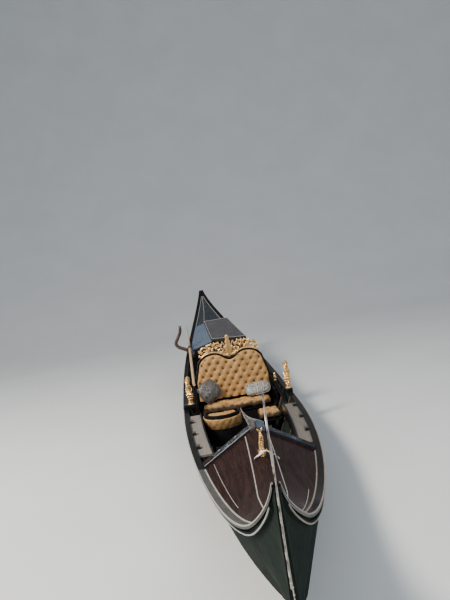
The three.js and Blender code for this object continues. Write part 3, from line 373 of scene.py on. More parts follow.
def tube_into(bm, rows, steps, sides, across=(0, 1, 0)):
    """A limb of oval section on a smooth path; rows are (x, y, z, half across, half deep)."""
    rings = []
    for i in range(steps + 1):
        at = spline(rows, i / steps)
        ahead = spline(rows, min(1, (i + 0.2) / steps)) - spline(rows, max(0, (i - 0.2) / steps))
        ahead = Vector(ahead[:3]).normalized()
        side = Vector(across)
        side = (side - ahead * side.dot(ahead)).normalized()
        deep = ahead.cross(side)
        centre = Vector(at[:3])
        rings.append([centre + side * math.cos(a) * at[3] + deep * math.sin(a) * at[4]
                      for a in angles(sides, 0.5)])
    loft_into(bm, rings)


def spline(rows, t):
    """A point of a smooth curve through the rows, whatever their number of columns."""
    t = min(max(t, 0.0), 1.0) * (len(rows) - 1)
    i = min(int(t), len(rows) - 2)
    f = t - i
    p1, p2 = Vector(rows[i]), Vector(rows[i + 1])
    p0 = Vector(rows[i - 1]) if i else p1 * 2 - p2
    p3 = Vector(rows[i + 2]) if i + 2 < len(rows) else p2 * 2 - p1
    return 0.5 * (
        p1 * 2 + (p2 - p0) * f + (p0 * 2 - p1 * 5 + p2 * 4 - p3) * f * f
        + (p1 * 3 - p0 - p2 * 3 + p3) * f**3
    )


def lathe_into(bm, profile, centre, sides):
    """A turned shape on an upright axis from (radius, height) rows."""
    centre = Vector(centre)
    loft_into(bm, [[centre + Vector((math.cos(a) * radius, math.sin(a) * radius, height))
                    for a in angles(sides)] for radius, height in profile])


def ridged_into(bm, rows, steps, sides, ridge, lobes, lobe, twist):
    """A limb with rings round it and lobes that wind along it."""
    rings = []
    for i in range(steps + 1):
        at = spline(rows, i / steps)
        swelling = 1 + ridge * math.sin(i / steps * 2 * math.pi * RIDGES)
        ring = []
        for a in angles(sides):
            fat = 1 + lobe * math.cos(lobes * (a + i / steps * twist))
            ring.append((at[0] + math.cos(a) * at[3] * swelling * fat,
                         at[1] + math.sin(a) * at[4] * swelling * fat, at[2]))
        rings.append(ring)
    loft_into(bm, rings)


def merged(node):
    """A bmesh copy of a CAD node with its loose triangles joined into larger faces."""
    bm = bmesh.new()
    bm.from_mesh(NODES[node].data)
    bmesh.ops.remove_doubles(bm, verts=bm.verts, dist=1e-5)
    bmesh.ops.dissolve_limit(
        bm, angle_limit=math.radians(0.3), verts=bm.verts, edges=bm.edges, delimit={"NORMAL"}
    )
    return bm


def loft_piece(name, rings, look, slot, *nodes, bevel=0.0015, angle=28.0):
    """A piece skinned over rings of points, with its edges rounded."""
    bm = bmesh.new()
    loft_into(bm, rings)
    return dress(build(bevel_edges(bm, bevel, angle), name, LOOKS[look]), slot, *nodes)


def strip_piece(name, span, count, section, look, slot, *nodes, bevel=0.002):
    """A long strip along the boat; section gives its (y, z) points at a station."""
    rings = [[(x, y, z) for y, z in section(x)] for x in stations(*span, count)]
    return loft_piece(name, rings, look, slot, *nodes, bevel=bevel)


def tube_piece(name, rows, steps, sides, look, slot, *nodes, across=(0, 1, 0), smooth=34.0):
    bm = bmesh.new()
    tube_into(bm, rows, steps, sides, across)
    return dress(build(bm, name, LOOKS[look], smooth), slot, *nodes)


def cad_piece(node, name, look, slot, bevel, angle=28.0):
    """A CAD node in its own shape, with its edges rounded."""
    piece = build(bevel_edges(merged(node), bevel, angle), name, LOOKS[look])
    return dress(piece, slot, node)


def applied(piece):
    """Applies a piece's modifiers and clears them."""
    graph = bpy.context.evaluated_depsgraph_get()
    mesh = bpy.data.meshes.new_from_object(piece.evaluated_get(graph))
    piece.modifiers.clear()
    old = piece.data
    piece.data = mesh
    bpy.data.meshes.remove(old)


def carve_smooth(piece, voxel, smoothing):
    """Melts a piece's overlapping shapes into one closed skin, as if carved from the solid."""
    look = piece.data.materials[0]
    remesh = piece.modifiers.new("skin", "REMESH")
    remesh.mode = "VOXEL"
    remesh.voxel_size = voxel
    soft = piece.modifiers.new("soften", "SMOOTH")
    soft.factor = 0.5
    soft.iterations = smoothing
    applied(piece)
    piece.data.name = piece.name
    if not piece.data.materials:
        piece.data.materials.append(look)
    piece.data.shade_smooth()


def mark_hollows(piece, gain):
    """Stores how deep each point lies in a hollow (1) or on a ridge (0), for darkening metal in
    its hollows, for painted shade in the folds of cloth, and for wear.
    """
    mesh = piece.data
    around = [[] for _ in mesh.vertices]
    for e in mesh.edges:
        a, b = e.vertices
        around[a].append(b)
        around[b].append(a)
    points = [v.co for v in mesh.vertices]
    values = []
    for v in mesh.vertices:
        near = around[v.index]
        if not near:
            values.append(0.5)
            continue
        mean = sum((points[i] for i in near), Vector()) / len(near)
        values.append((mean - v.co).dot(v.normal) * gain)
    for _ in range(3):
        values = [
            (values[i] + sum(values[j] for j in around[i]) / max(1, len(around[i]))) / 2
            for i in range(len(values))
        ]
    layer = mesh.attributes.get("hollow") or mesh.attributes.new("hollow", "FLOAT", "POINT")
    layer.data.foreach_set("value", [min(1.0, max(0.0, 0.5 + v)) for v in values])


def swell(piece, pressure, cap):
    """Puffs a closed cloth skin up with Blender's cloth, and limits how far each point moves."""
    scene = bpy.context.scene
    start = [v.co.copy() for v in piece.data.vertices]
    cloth = piece.modifiers.new("swell", "CLOTH")
    cloth.point_cache.frame_start, cloth.point_cache.frame_end = 1, SWELL_FRAMES
    rules = cloth.settings
    rules.use_pressure = True
    rules.uniform_pressure_force = pressure
    rules.effector_weights.gravity = 0
    rules.tension_stiffness = rules.compression_stiffness = SWELL_STIFFNESS
    rules.shear_stiffness = SWELL_STIFFNESS / 2
    rules.bending_stiffness = 0.4
    rules.quality = 5
    for number in range(1, SWELL_FRAMES + 1):
        scene.frame_set(number)
    applied(piece)
    scene.frame_set(1)
    for vert, home in zip(piece.data.vertices, start):
        move = vert.co - home
        if move.length > cap:
            vert.co = home + move * (cap / move.length)
    piece.data.shade_smooth()


def refine(piece):
    """Adds one round of subdivision and applies it."""
    sub = piece.modifiers.new("refine", "SUBSURF")
    sub.levels = sub.render_levels = 1
    applied(piece)
    piece.data.shade_smooth()


# Small parts that repeat, placed by geometry nodes
def socket_of(tree, name):
    return next(
        item.identifier for item in tree.interface.items_tree
        if item.item_type == "SOCKET" and item.in_out == "INPUT" and item.name == name
    )


def stud_tree():
    """Puts a low round head on each vertex, turned to the vertex's facing attribute."""
    tree = bpy.data.node_groups.get("round_heads")
    if tree:
        return tree
    tree = bpy.data.node_groups.new("round_heads", "GeometryNodeTree")
    face = tree.interface
    face.new_socket(name="Places", in_out="INPUT", socket_type="NodeSocketGeometry")
    for name, value in (("Radius", 0.005), ("Height", 0.003)):
        face.new_socket(name=name, in_out="INPUT", socket_type="NodeSocketFloat").default_value = value
    face.new_socket(name="Look", in_out="INPUT", socket_type="NodeSocketMaterial")
    face.new_socket(name="Heads", in_out="OUTPUT", socket_type="NodeSocketGeometry")
    n = Nodes(tree)
    given, out = n.add("NodeGroupInput").outputs, n.add("NodeGroupOutput").inputs
    head = n.add("GeometryNodeMeshUVSphere", Segments=10, Rings=6, Radius=1.0)
    facing = n.add("GeometryNodeInputNamedAttribute", {"data_type": "FLOAT_VECTOR"}, Name="facing")
    turn = n.add("FunctionNodeAlignRotationToVector", {"axis": "Z"},
                 Vector=facing.outputs["Attribute"])
    size = n.add("ShaderNodeCombineXYZ", X=given["Radius"], Y=given["Radius"], Z=given["Height"])
    place = n.add("GeometryNodeInstanceOnPoints", Points=given["Places"],
                  Instance=head.outputs["Mesh"], Rotation=turn.outputs["Rotation"],
                  Scale=size.outputs["Vector"])
    real = n.add("GeometryNodeRealizeInstances", Geometry=place.outputs["Instances"])
    paint = n.add("GeometryNodeSetMaterial", Geometry=real.outputs["Geometry"],
                  Material=given["Look"])
    n.feed(out["Heads"], paint.outputs["Geometry"])
    return tree


def round_heads(name, places, radius, height, look):
    """Buttons, nails or studs: places are (point, direction that the head faces)."""
    mesh = bpy.data.meshes.new(name)
    mesh.from_pydata([tuple(p) for p, _ in places], [], [])
    facing = mesh.attributes.new("facing", "FLOAT_VECTOR", "POINT")
    facing.data.foreach_set("vector", [c for _, d in places for c in Vector(d).normalized()])
    piece = bpy.data.objects.new(name, mesh)
    bpy.context.scene.collection.objects.link(piece)
    tree = stud_tree()
    nodes = piece.modifiers.new("heads", "NODES")
    nodes.node_group = tree
    nodes[socket_of(tree, "Radius")] = radius
    nodes[socket_of(tree, "Height")] = height
    nodes[socket_of(tree, "Look")] = look
    applied(piece)
    if not piece.data.materials:
        piece.data.materials.append(look)
    piece.data.shade_smooth()
    return piece


# Materials
def rgb(colour):
    return (*colour, 1.0)


def times(colour, share):
    """A colour made lighter or darker."""
    return tuple(min(1, c * share) for c in colour)


class Nodes:
    """A short hand for one node tree."""

    def __init__(self, tree):
        self.tree = tree

    def add(self, kind, settings=None, **inputs):
        node = self.tree.nodes.new(kind)
        for name, value in (settings or {}).items():
            setattr(node, name, value)
        for name, value in inputs.items():
            self.feed(node.inputs[name.replace("_", " ")], value)
        return node

    def feed(self, socket, value):
        if isinstance(value, bpy.types.NodeSocket):
            self.tree.links.new(value, socket)
        else:
            socket.default_value = value

    def noise(self, at, scale, detail=4.0, rough=0.55, distortion=0.0):
        return self.add("ShaderNodeTexNoise", Vector=at, Scale=scale, Detail=detail,
                        Roughness=rough, Distortion=distortion).outputs["Fac"]

    def waves(self, at, scale, direction, **inputs):
        settings = {"wave_profile": "SIN", "bands_direction": direction}
        return self.add("ShaderNodeTexWave", settings, Vector=at, Scale=scale,
                        **inputs).outputs["Fac"]

    def math(self, kind, a, b=0.0, clamp=False):
        node = self.add("ShaderNodeMath", {"operation": kind, "use_clamp": clamp})
        self.feed(node.inputs[0], a)
        self.feed(node.inputs[1], b)
        return node.outputs[0]

    def plus(self, a, b, share, clamp=False):
        """One value plus a share of another."""
        return self.math("ADD", a, self.math("MULTIPLY", b, share), clamp)

    def vector(self, kind, a, b=None, **inputs):
        node = self.add("ShaderNodeVectorMath", {"operation": kind}, **inputs)
        self.feed(node.inputs[0], a)
        if b is not None:
            self.feed(node.inputs[1], b)
        return node.outputs[0]

    def ramp(self, value, low, high, start=0.0, end=1.0):
        return self.add("ShaderNodeMapRange", {"clamp": True}, Value=value, From_Min=low,
                        From_Max=high, To_Min=start, To_Max=end).outputs["Result"]

    def mix(self, factor, a, b):
        node = self.add("ShaderNodeMix", {"data_type": "RGBA"})
        self.feed(node.inputs[0], factor)
        self.feed(node.inputs[6], a)
        self.feed(node.inputs[7], b)
        return node.outputs[2]

    def over(self, tone, mask, share, colour):
        """Lays a share of a plain colour over a tone where a mask is high."""
        return self.mix(self.math("MULTIPLY", mask, share), tone, rgb(colour))

    def place(self):
        return self.add("ShaderNodeTexCoord").outputs["Object"]

    def stored(self, name):
        return self.add("ShaderNodeAttribute", {"attribute_name": name}).outputs["Fac"]

    def bump(self, height, strength, distance, under=None):
        node = self.add("ShaderNodeBump", Height=height, Strength=strength, Distance=distance)
        if under is not None:
            self.feed(node.inputs["Normal"], under)
        return node.outputs["Normal"]


def new_group(name, takes, gives):
    """A shader group with named inputs, each with its value, and named outputs."""
    tree = bpy.data.node_groups.new(name, "ShaderNodeTree")
    for label, value in takes:
        kind = "NodeSocketVector" if value is None else "NodeSocketFloat"
        socket = tree.interface.new_socket(name=label, in_out="INPUT", socket_type=kind)
        if value is not None:
            socket.default_value = value
    for label in gives:
        tree.interface.new_socket(name=label, in_out="OUTPUT", socket_type="NodeSocketFloat")
    n = Nodes(tree)
    return n, n.add("NodeGroupInput").outputs, n.add("NodeGroupOutput").inputs


def grain_group():
    """Wood grain that runs along X."""
    n, given, out = new_group(
        "wood_grain", [("Place", None), ("Scale", 1.0), ("Stretch", 14.0)], ["Grain", "Pores"]
    )
    squeeze = n.add("ShaderNodeCombineXYZ", Y=given["Stretch"], Z=given["Stretch"], X=1.0)
    at = n.vector("MULTIPLY", given["Place"], squeeze.outputs[0])
    at = n.vector("SCALE", at, Scale=given["Scale"])
    broad = n.noise(at, 2.2, 5.0, 0.6, 0.8)
    n.feed(out["Grain"], broad)
    fine = n.noise(at, 24.0, 3.0, 0.7)
    n.feed(out["Pores"], n.ramp(fine, 0.52, 0.68))
    return n.tree


def wear_group():
    """Where an edge is rubbed bare, and where salt and dust have settled."""
    n, given, out = new_group(
        "edge_wear", [("Place", None), ("Amount", 0.5), ("Patch Size", 9.0)],
        ["Bare", "Dust", "Smears"],
    )
    patches = n.noise(given["Place"], given["Patch Size"], 5.0, 0.65)
    reach = n.math("SUBTRACT", 1.0, given["Amount"])
    bare = n.math("SUBTRACT", n.plus(n.stored("worn"), patches, 0.9), reach)
    n.feed(out["Bare"], n.ramp(bare, 0.45, 0.75))
    up = n.add("ShaderNodeSeparateXYZ", Vector=n.add("ShaderNodeNewGeometry").outputs["Normal"])
    flat = n.ramp(up.outputs["Z"], 0.3, 1.0)
    specks = n.noise(given["Place"], 46.0, 6.0, 0.7)
    n.feed(out["Dust"], n.math("MULTIPLY", flat, n.ramp(specks, 0.42, 0.8)))
    n.feed(out["Smears"], n.ramp(n.noise(given["Place"], 5.0, 3.0, 0.5, 1.2), 0.35, 0.7))
    return n.tree


def brocade_group():
    """A woven ground with a raised floral figure."""
    n, given, out = new_group(
        "brocade", [("Place", None), ("Repeat", 16.0), ("Thread", 900.0)], ["Figure", "Weave"]
    )
    bent = n.noise(given["Place"], n.math("MULTIPLY", given["Repeat"], 0.8), 2.0, 0.5)
    spread = n.add("ShaderNodeCombineXYZ", X=bent, Y=bent, Z=bent)
    shift = n.vector("SCALE", spread.outputs[0], Scale=0.035)
    moved = n.vector("ADD", given["Place"], shift)
    petals = n.add("ShaderNodeTexVoronoi", {"feature": "DISTANCE_TO_EDGE"}, Vector=moved,
                   Scale=given["Repeat"]).outputs["Distance"]
    rings = n.math("SINE", n.math("MULTIPLY", petals, 34.0))
    n.feed(out["Figure"], n.ramp(rings, -0.15, 0.35))
    across, along = (n.waves(given["Place"], given["Thread"], way, Distortion=0.4) for way in "YZ")
    n.feed(out["Weave"], n.math("MAXIMUM", across, along))
    return n.tree


def tarnish_group():
    """How dark metal has gone in its hollows and how bright it is rubbed on its ridges; on cloth
    the same darkening is painted shade in its folds.
    """
    n, given, out = new_group(
        "tarnish", [("Place", None), ("Depth", 0.6)], ["Dark", "Bright", "Pits"]
    )
    hollow = n.stored("hollow")
    cloud = n.noise(given["Place"], 38.0, 5.0, 0.65)
    low = n.ramp(n.plus(hollow, cloud, 0.3), 0.58, 0.95)
    n.feed(out["Dark"], n.math("MULTIPLY", low, given["Depth"]))
    n.feed(out["Bright"], n.ramp(hollow, 0.46, 0.2))
    n.feed(out["Pits"], n.noise(given["Place"], 260.0, 3.0, 0.6))
    return n.tree


GROUPS = {}


def group_in(n, name, **inputs):
    """Places one of the shared groups in a material."""
    if name not in GROUPS:
        makers = {"wood_grain": grain_group, "edge_wear": wear_group,
                  "brocade": brocade_group, "tarnish": tarnish_group}
        GROUPS[name] = makers[name]()
    node = n.add("ShaderNodeGroup", {"node_tree": GROUPS[name]})
    for label, value in inputs.items():
        n.feed(node.inputs[label.replace("_", " ")], value)
    return node.outputs


def start_look(name, **sockets):
    """A new material; sockets are constants on its Principled BSDF."""
    look = bpy.data.materials.new(name)
    look.use_nodes = True
    n = Nodes(look.node_tree)
    shader = look.node_tree.nodes["Principled BSDF"]
    for label, value in sockets.items():
        shader.inputs[label.replace("_", " ")].default_value = value
    return look, n, shader.inputs


def lacquer(name, base, warm, bare, wear=0.3, rough=0.09, dust=0.0, figure=0.0, coat=0.0,
            bend=1.3, shine=0.5):
    """Black varnish over wood: deep, glossy, dusty on top and rubbed at its edges."""
    look, n, shader = start_look(name, Coat_Weight=coat, Coat_Roughness=0.05, IOR=bend,
                                 Specular_IOR_Level=shine)
    at = n.place()
    worn = group_in(n, "edge_wear", Place=at, Amount=wear, Patch_Size=11.0)
    grain = group_in(n, "wood_grain", Place=at, Scale=1.6, Stretch=11.0)
    tone = n.mix(n.ramp(grain["Grain"], 0.35, 0.7), rgb(base), rgb(warm))
    tone = n.over(tone, worn["Dust"], dust, (0.2, 0.19, 0.175))
    n.feed(shader["Base Color"], n.mix(worn["Bare"], tone, rgb(bare)))
    rub = n.plus(n.plus(rough, worn["Smears"], 0.09), worn["Dust"], 0.22)
    n.feed(shader["Roughness"], n.plus(rub, worn["Bare"], 0.4, True))
    height = n.plus(n.noise(at, 14.0, 2.0), grain["Grain"], figure)
    n.feed(shader["Normal"], n.bump(height, 0.1, 0.004))
    return look


def timber(name, light, dark, rough, scale, wear=0.3, bare=(0.4, 0.35, 0.28)):
    """Plain or oiled wood with its grain along the boat."""
    look, n, shader = start_look(name, IOR=1.45)
    at = n.place()
    grain = group_in(n, "wood_grain", Place=at, Scale=scale, Stretch=16.0)
    worn = group_in(n, "edge_wear", Place=at, Amount=wear, Patch_Size=16.0)
    tone = n.mix(n.ramp(grain["Grain"], 0.3, 0.7), rgb(dark), rgb(light))
    tone = n.over(tone, grain["Pores"], 0.45, times(dark, 0.45))
    tone = n.over(tone, worn["Bare"], 0.8, bare)
    n.feed(shader["Base Color"], n.over(tone, worn["Dust"], 0.2, (0.35, 0.32, 0.28)))
    n.feed(shader["Roughness"], n.ramp(grain["Pores"], 0.0, 1.0, rough, min(1.0, rough + 0.2)))
    n.feed(shader["Normal"], n.bump(grain["Pores"], 0.25, -0.0008))
    return look


def metal(name, bright, dull, rough, depth, grey=0.9, patches=0.5):
    """Polished metal, dark in its hollows and rubbed bright on its ridges."""
    look, n, shader = start_look(name, Metallic=1.0)
    at = n.place()
    patina = group_in(n, "tarnish", Place=at, Depth=depth)
    # Patches of lighter and darker tone; on the worn iron, with a dark share between them, they are
    # painted glints.
    cloud = n.ramp(n.noise(at, 26.0, 4.0), 0.35, 0.7)
    tone = n.over(rgb(bright), cloud, patches, times(bright, grey))
    n.feed(shader["Base Color"], n.mix(patina["Dark"], tone, rgb(dull)))
    rub = n.plus(n.plus(rough, patina["Dark"], 0.4), cloud, 0.08)
    n.feed(shader["Roughness"], n.plus(rub, patina["Bright"], -0.08, True))
    n.feed(shader["Metallic"], n.plus(1.0, patina["Dark"], -0.45))
    n.feed(shader["Normal"], n.bump(patina["Pits"], 0.12, 0.0006))
    return look


def brocade(name, ground, figure, shade, repeat=13.0, rough=0.55, soil=None):
    """Figured cloth: a raised pattern on a woven ground, with painted shade
    in its folds and down its front.

    The last argument gives the height where the painted shade starts, where it is full,
    and how deep it goes.
    """
    look, n, shader = start_look(name, Sheen_Weight=0.06, Sheen_Roughness=0.35,
                                 Sheen_Tint=rgb(figure), IOR=1.4)
    at = n.place()
    cloth = group_in(n, "brocade", Place=at, Repeat=repeat, Thread=520.0)
    patina = group_in(n, "tarnish", Place=at, Depth=0.75)
    tone = n.over(rgb(ground), cloth["Figure"], 0.75, figure)
    tone = n.mix(n.ramp(n.noise(at, 9.0, 3.0), 0.4, 0.75, 0.0, 0.6), tone, rgb(shade))
    # Painted shade: the cloth darkens in its hollows, in the folds and round the buttons.
    tone = n.mix(patina["Dark"], tone, rgb(times(shade, 0.4)))
    # Painted shade: below a ragged height the cloth darkens down the pad's front and sides.
    if soil:
        clean, full, depth = soil
        height = n.add("ShaderNodeSeparateXYZ", Vector=at).outputs["Z"]
        ragged = n.ramp(n.noise(at, 17.0, 3.0), 0.3, 0.7, -0.014, 0.014)
        dirt = n.ramp(n.math("ADD", height, ragged), clean, full, 0.0, depth)
        tone = n.mix(dirt, tone, rgb(times(shade, 0.07)))
    n.feed(shader["Base Color"], tone)
    n.feed(shader["Roughness"], n.ramp(cloth["Figure"], 0.0, 1.0, min(1.0, rough + 0.2), rough))
    creases = n.bump(n.noise(at, 22.0, 4.0, 0.6, 0.6), 0.35, 0.006)
    raised = n.plus(cloth["Figure"], cloth["Weave"], 0.3)
    n.feed(shader["Normal"], n.bump(raised, 0.35, 0.0012, creases))
    return look


def matting(name, dark, light):
    """Ribbed rubber matting, grey with dust between its ribs."""
    look, n, shader = start_look(name, IOR=1.4, Specular_IOR_Level=0.3)
    at = n.place()
    ribs = n.waves(at, 38.0, "Y")
    worn = group_in(n, "edge_wear", Place=at, Amount=0.3, Patch_Size=7.0)
    tone = n.mix(n.ramp(n.noise(at, 6.0, 5.0), 0.3, 0.7), rgb(dark), rgb(light))
    tone = n.over(tone, ribs, 0.4, times(dark, 0.5))
    n.feed(shader["Base Color"], n.over(tone, worn["Dust"], 0.35, (0.3, 0.29, 0.28)))
    n.feed(shader["Roughness"], n.ramp(ribs, 0.0, 1.0, 0.62, 0.8))
    grit = n.plus(ribs, n.noise(at, 300.0, 2.0), 0.4)
    n.feed(shader["Normal"], n.bump(grit, 0.4, 0.0015))
    return look


def satin(name, base, shade):
    """Pale satin ribbon with soft creases."""
    look, n, shader = start_look(name, Roughness=0.42, Sheen_Weight=0.4, Sheen_Tint=rgb(base))
    at = n.place()
    folds = n.noise(at, 30.0, 4.0, 0.6, 0.8)
    n.feed(shader["Base Color"], n.mix(n.ramp(folds, 0.35, 0.7), rgb(base), rgb(shade)))
    n.feed(shader["Roughness"], n.ramp(folds, 0.3, 0.7, 0.38, 0.6))
    thread = n.waves(at, 700.0, "DIAGONAL")
    n.feed(shader["Normal"], n.bump(thread, 0.12, 0.0004, n.bump(folds, 0.3, 0.003)))
    return look


def floor_look(name, tone):
    """The studio's painted floor, faintly clouded."""
    look, n, shader = start_look(name, Roughness=0.75, Specular_IOR_Level=0.25)
    clouds = n.ramp(n.noise(n.place(), 0.6, 3.0), 0.3, 0.7)
    n.feed(shader["Base Color"], n.mix(clouds, rgb(tone), rgb(times(tone, 0.94))))
    return look


LOOKS = {}
# The gold cloths: each one's material and its painted shade, darker down its front below a height.
GOLD_CLOTHS = {
    "gold": ("gold_brocade", None),
    "gold_squab": ("gold_brocade_squab", (0.318, 0.285, 0.94)),
    "gold_stool": ("gold_brocade_stool", (0.268, 0.238, 0.9)),
    "gold_chair": ("gold_brocade_chair", (0.41, 0.33, 0.75)),
}


def lacquer_looks(varnish):
    LOOKS.update(
        lacquer=lacquer("black_lacquer", (0.006, 0.006, 0.007), (0.012, 0.01, 0.01),
                        (0.33, 0.31, 0.28), bend=1.08),
        # The hull sides are matte, and their black's green tint is a painted reflection of the water.
        hull=lacquer("hull_lacquer", (0.011, 0.016, 0.014), (0.02, 0.026, 0.022),
                     (0.2, 0.19, 0.17), wear=0.25, rough=0.35, bend=1.05, shine=0.05),
        # A blue-black gloss whose pale blue tone is a painted reflection of the sky.
        sky_varnish=lacquer("blue_black_varnish", (0.07, 0.1, 0.145), (0.045, 0.07, 0.11),
                            (0.33, 0.31, 0.28), dust=0.15, coat=0.4, bend=1.45),
        inside=lacquer("black_paint", (0.014, 0.013, 0.013), (0.03, 0.024, 0.02),
                       (0.16, 0.12, 0.09), wear=0.35, rough=0.32, dust=0.4, coat=0.15),
        deck=lacquer("deck_varnish", varnish, times(varnish, 0.2), (0.3, 0.25, 0.2), wear=0.25,
                     rough=0.12, dust=0.03, figure=0.3, bend=1.07),
        # The carving's bluish bare tone on its crowns and rims is partly wear and partly a painted
        # sheen highlight.
        carved=lacquer("carved_lacquer", (0.008, 0.01, 0.014), (0.02, 0.024, 0.032),
                       (0.3, 0.35, 0.43), wear=0.58, rough=0.22, dust=0.05),
        # The bottom's black is a little lighter than the sides': painted light against the shade on its
        # downward faces.
        hull_paint=lacquer("bottom_paint", (0.016, 0.023, 0.02), (0.026, 0.034, 0.029),
                           (0.07, 0.07, 0.06), wear=0.2, rough=0.4, bend=1.05, shine=0.05),
    )


def timber_looks():
    LOOKS.update(
        # Pale edging: on the gunwales and strakes it is partly wear and partly a painted highlight; the
        # port copy is darker as painted shade.
        edging=timber("worn_edging", (0.36, 0.35, 0.31), (0.22, 0.21, 0.18), 0.42, 2.2),
        edging_port=timber("worn_edging_brown", (0.27, 0.21, 0.17), (0.13, 0.09, 0.07), 0.42, 2.2),
        worn_top=timber("worn_cap_top", (0.05, 0.049, 0.046), (0.022, 0.022, 0.021), 0.4, 2.0,
                        0.1, (0.13, 0.125, 0.12)),
        board=timber("grey_board", (0.2, 0.175, 0.15), (0.13, 0.115, 0.1), 0.75, 1.1,
                     bare=(0.26, 0.23, 0.2)),
        # The grey board again, darker: painted shade for the port side board.
        board_port=timber("grey_board_shaded", (0.12, 0.105, 0.09), (0.08, 0.07, 0.06), 0.75, 1.1,
                          bare=(0.17, 0.15, 0.13)),
        inlay=timber("pale_inlay", (0.4, 0.37, 0.34), (0.26, 0.23, 0.21), 0.3, 3.0),
        inner=timber("inner_wood", (0.07, 0.05, 0.036), (0.028, 0.02, 0.015), 0.55, 1.2,
                     bare=(0.2, 0.15, 0.11)),
        walnut=timber("walnut", (0.075, 0.036, 0.026), (0.028, 0.014, 0.01), 0.28, 3.0, 0.2,
                      (0.2, 0.13, 0.1)),
        ash=timber("pale_wood", (0.62, 0.42, 0.23), (0.42, 0.26, 0.13), 0.38, 1.4, 0.2),
    )


def metal_looks():
    LOOKS.update(
        steel=metal("polished_steel", (0.66, 0.66, 0.65), (0.2, 0.18, 0.16), 0.2, 0.7),
        # The worn iron's bright patches on a dark ground are painted glints along the stem iron.
        iron=metal("worn_iron", (0.66, 0.57, 0.49), (0.12, 0.08, 0.06), 0.3, 0.9, 0.16, 1.0),
        gilt=metal("gilt_brass", (0.86, 0.52, 0.2), (0.16, 0.06, 0.02), 0.2, 0.95),
        carved_gilt=metal("carved_gilt", (0.8, 0.49, 0.2), (0.1, 0.045, 0.018), 0.3, 1.0),
    )


def cloth_looks(gold, silver):
    for key, (name, soil) in GOLD_CLOTHS.items():
        LOOKS[key] = brocade(name, gold, times(gold, 1.35), times(gold, 0.55), soil=soil)
    LOOKS.update(
        silver=brocade("silver_cloth", times(silver, 0.2), times(silver, 1.5), times(silver, 0.3),
                       rough=0.4),
        silver_light=brocade("silver_cloth_light", times(silver, 0.6), times(silver, 3.8), silver,
                             rough=0.4),
        button=brocade("button_cloth", (0.05, 0.028, 0.014), (0.1, 0.055, 0.025),
                       (0.02, 0.012, 0.008), repeat=60.0),
        mat=matting("grey_mat", (0.03, 0.029, 0.034), (0.06, 0.058, 0.066)),
        ribbon=satin("pale_ribbon", (0.8, 0.66, 0.64), (0.62, 0.44, 0.42)),
    )


def make_looks(gold, silver, varnish):
    """All finishes, from the colours that the panel shows."""
    lacquer_looks(varnish)
    timber_looks()
    metal_looks()
    cloth_looks(gold, silver)
    LOOKS["floor"] = floor_look("studio_floor", (0.62, 0.63, 0.62))


# The shell and its trim
def bottom_piece():
    def section(x):
        y, half, z = keel_y(x), chine_half(x), keel_z(x)
        return [(y - half, z), (y + half, z), (y + half, z + BOTTOM), (y - half, z + BOTTOM)]

    strip_piece("planked_bottom", (CHINE["stern"], CHINE["bow"]), 90, section, "hull_paint",
                "bottom_paint", "bottom_planking", bevel=0.003)


def planking_piece(side):
    def section(x):
        low, high = keel_z(x) + BOTTOM + GAP, sheer_z(x) - CAP_THICK - GAP
        heights = [low, low + (high - low) * 0.5, high]
        outer = [(outer_y(x, z, side), z) for z in heights]
        inner = [(inner_y(x, z, side), z) for z in heights[::-1]]
        return outer + inner

    nodes = [f"side_planking_{side}_{length}" for length in ("aft", "middle", "fore")]
    strip_piece(f"side_planks_{side}", CAP_ENDS, 150, section, "hull", "black_lacquer", *nodes)


def cap_piece(side, trim):
    sign = SIGN[side]

    def section(x):
        z, inner = sheer_z(x), cap_inner(x, side)
        outer = edge_y(x, side) + sign * CAP_OVER
        rebate = outer - sign * trim.edging_wide
        return [(inner, z - CAP_THICK), (outer, z - CAP_THICK), (outer, z - trim.edging_high),
                (rebate, z - trim.edging_high), (rebate, z), (inner, z)]

    cap = strip_piece(f"gunwale_{side}", CAP_ENDS, 150, section, "lacquer",
                      "black_lacquer", f"gunwale_cap_{side}", bevel=0.004)
    if side == "starboard":
        cap.data.materials.append(LOOKS["worn_top"])
        for face in cap.data.polygons:
            if face.normal.z > 0.7 and WORN_CAP[0] < face.center.x < WORN_CAP[1]:
                face.material_index = 1

    def lip(x):
        z, outer = sheer_z(x), edge_y(x, side) + sign * (CAP_OVER + 0.002)
        inner = outer - sign * trim.edging_wide
        return [(inner, z - trim.edging_high + 0.001), (outer, z - trim.edging_high + 0.001),
                (outer, z + 0.0005), (inner, z + 0.0025)]

    # The gunwale's edging strip: pale on starboard, partly a painted highlight, and darker on port as
    # painted shade.
    look, aft = EDGING[side]
    strip_piece(f"gunwale_edging_{side}", (aft, CAP_ENDS[1]), 120, lip, look, "grey_board",
                bevel=0.003)
    strip_piece(f"gunwale_lip_{side}", (CAP_ENDS[0], aft - 0.002), 60, lip, "lacquer",
                "black_lacquer", bevel=0.003)


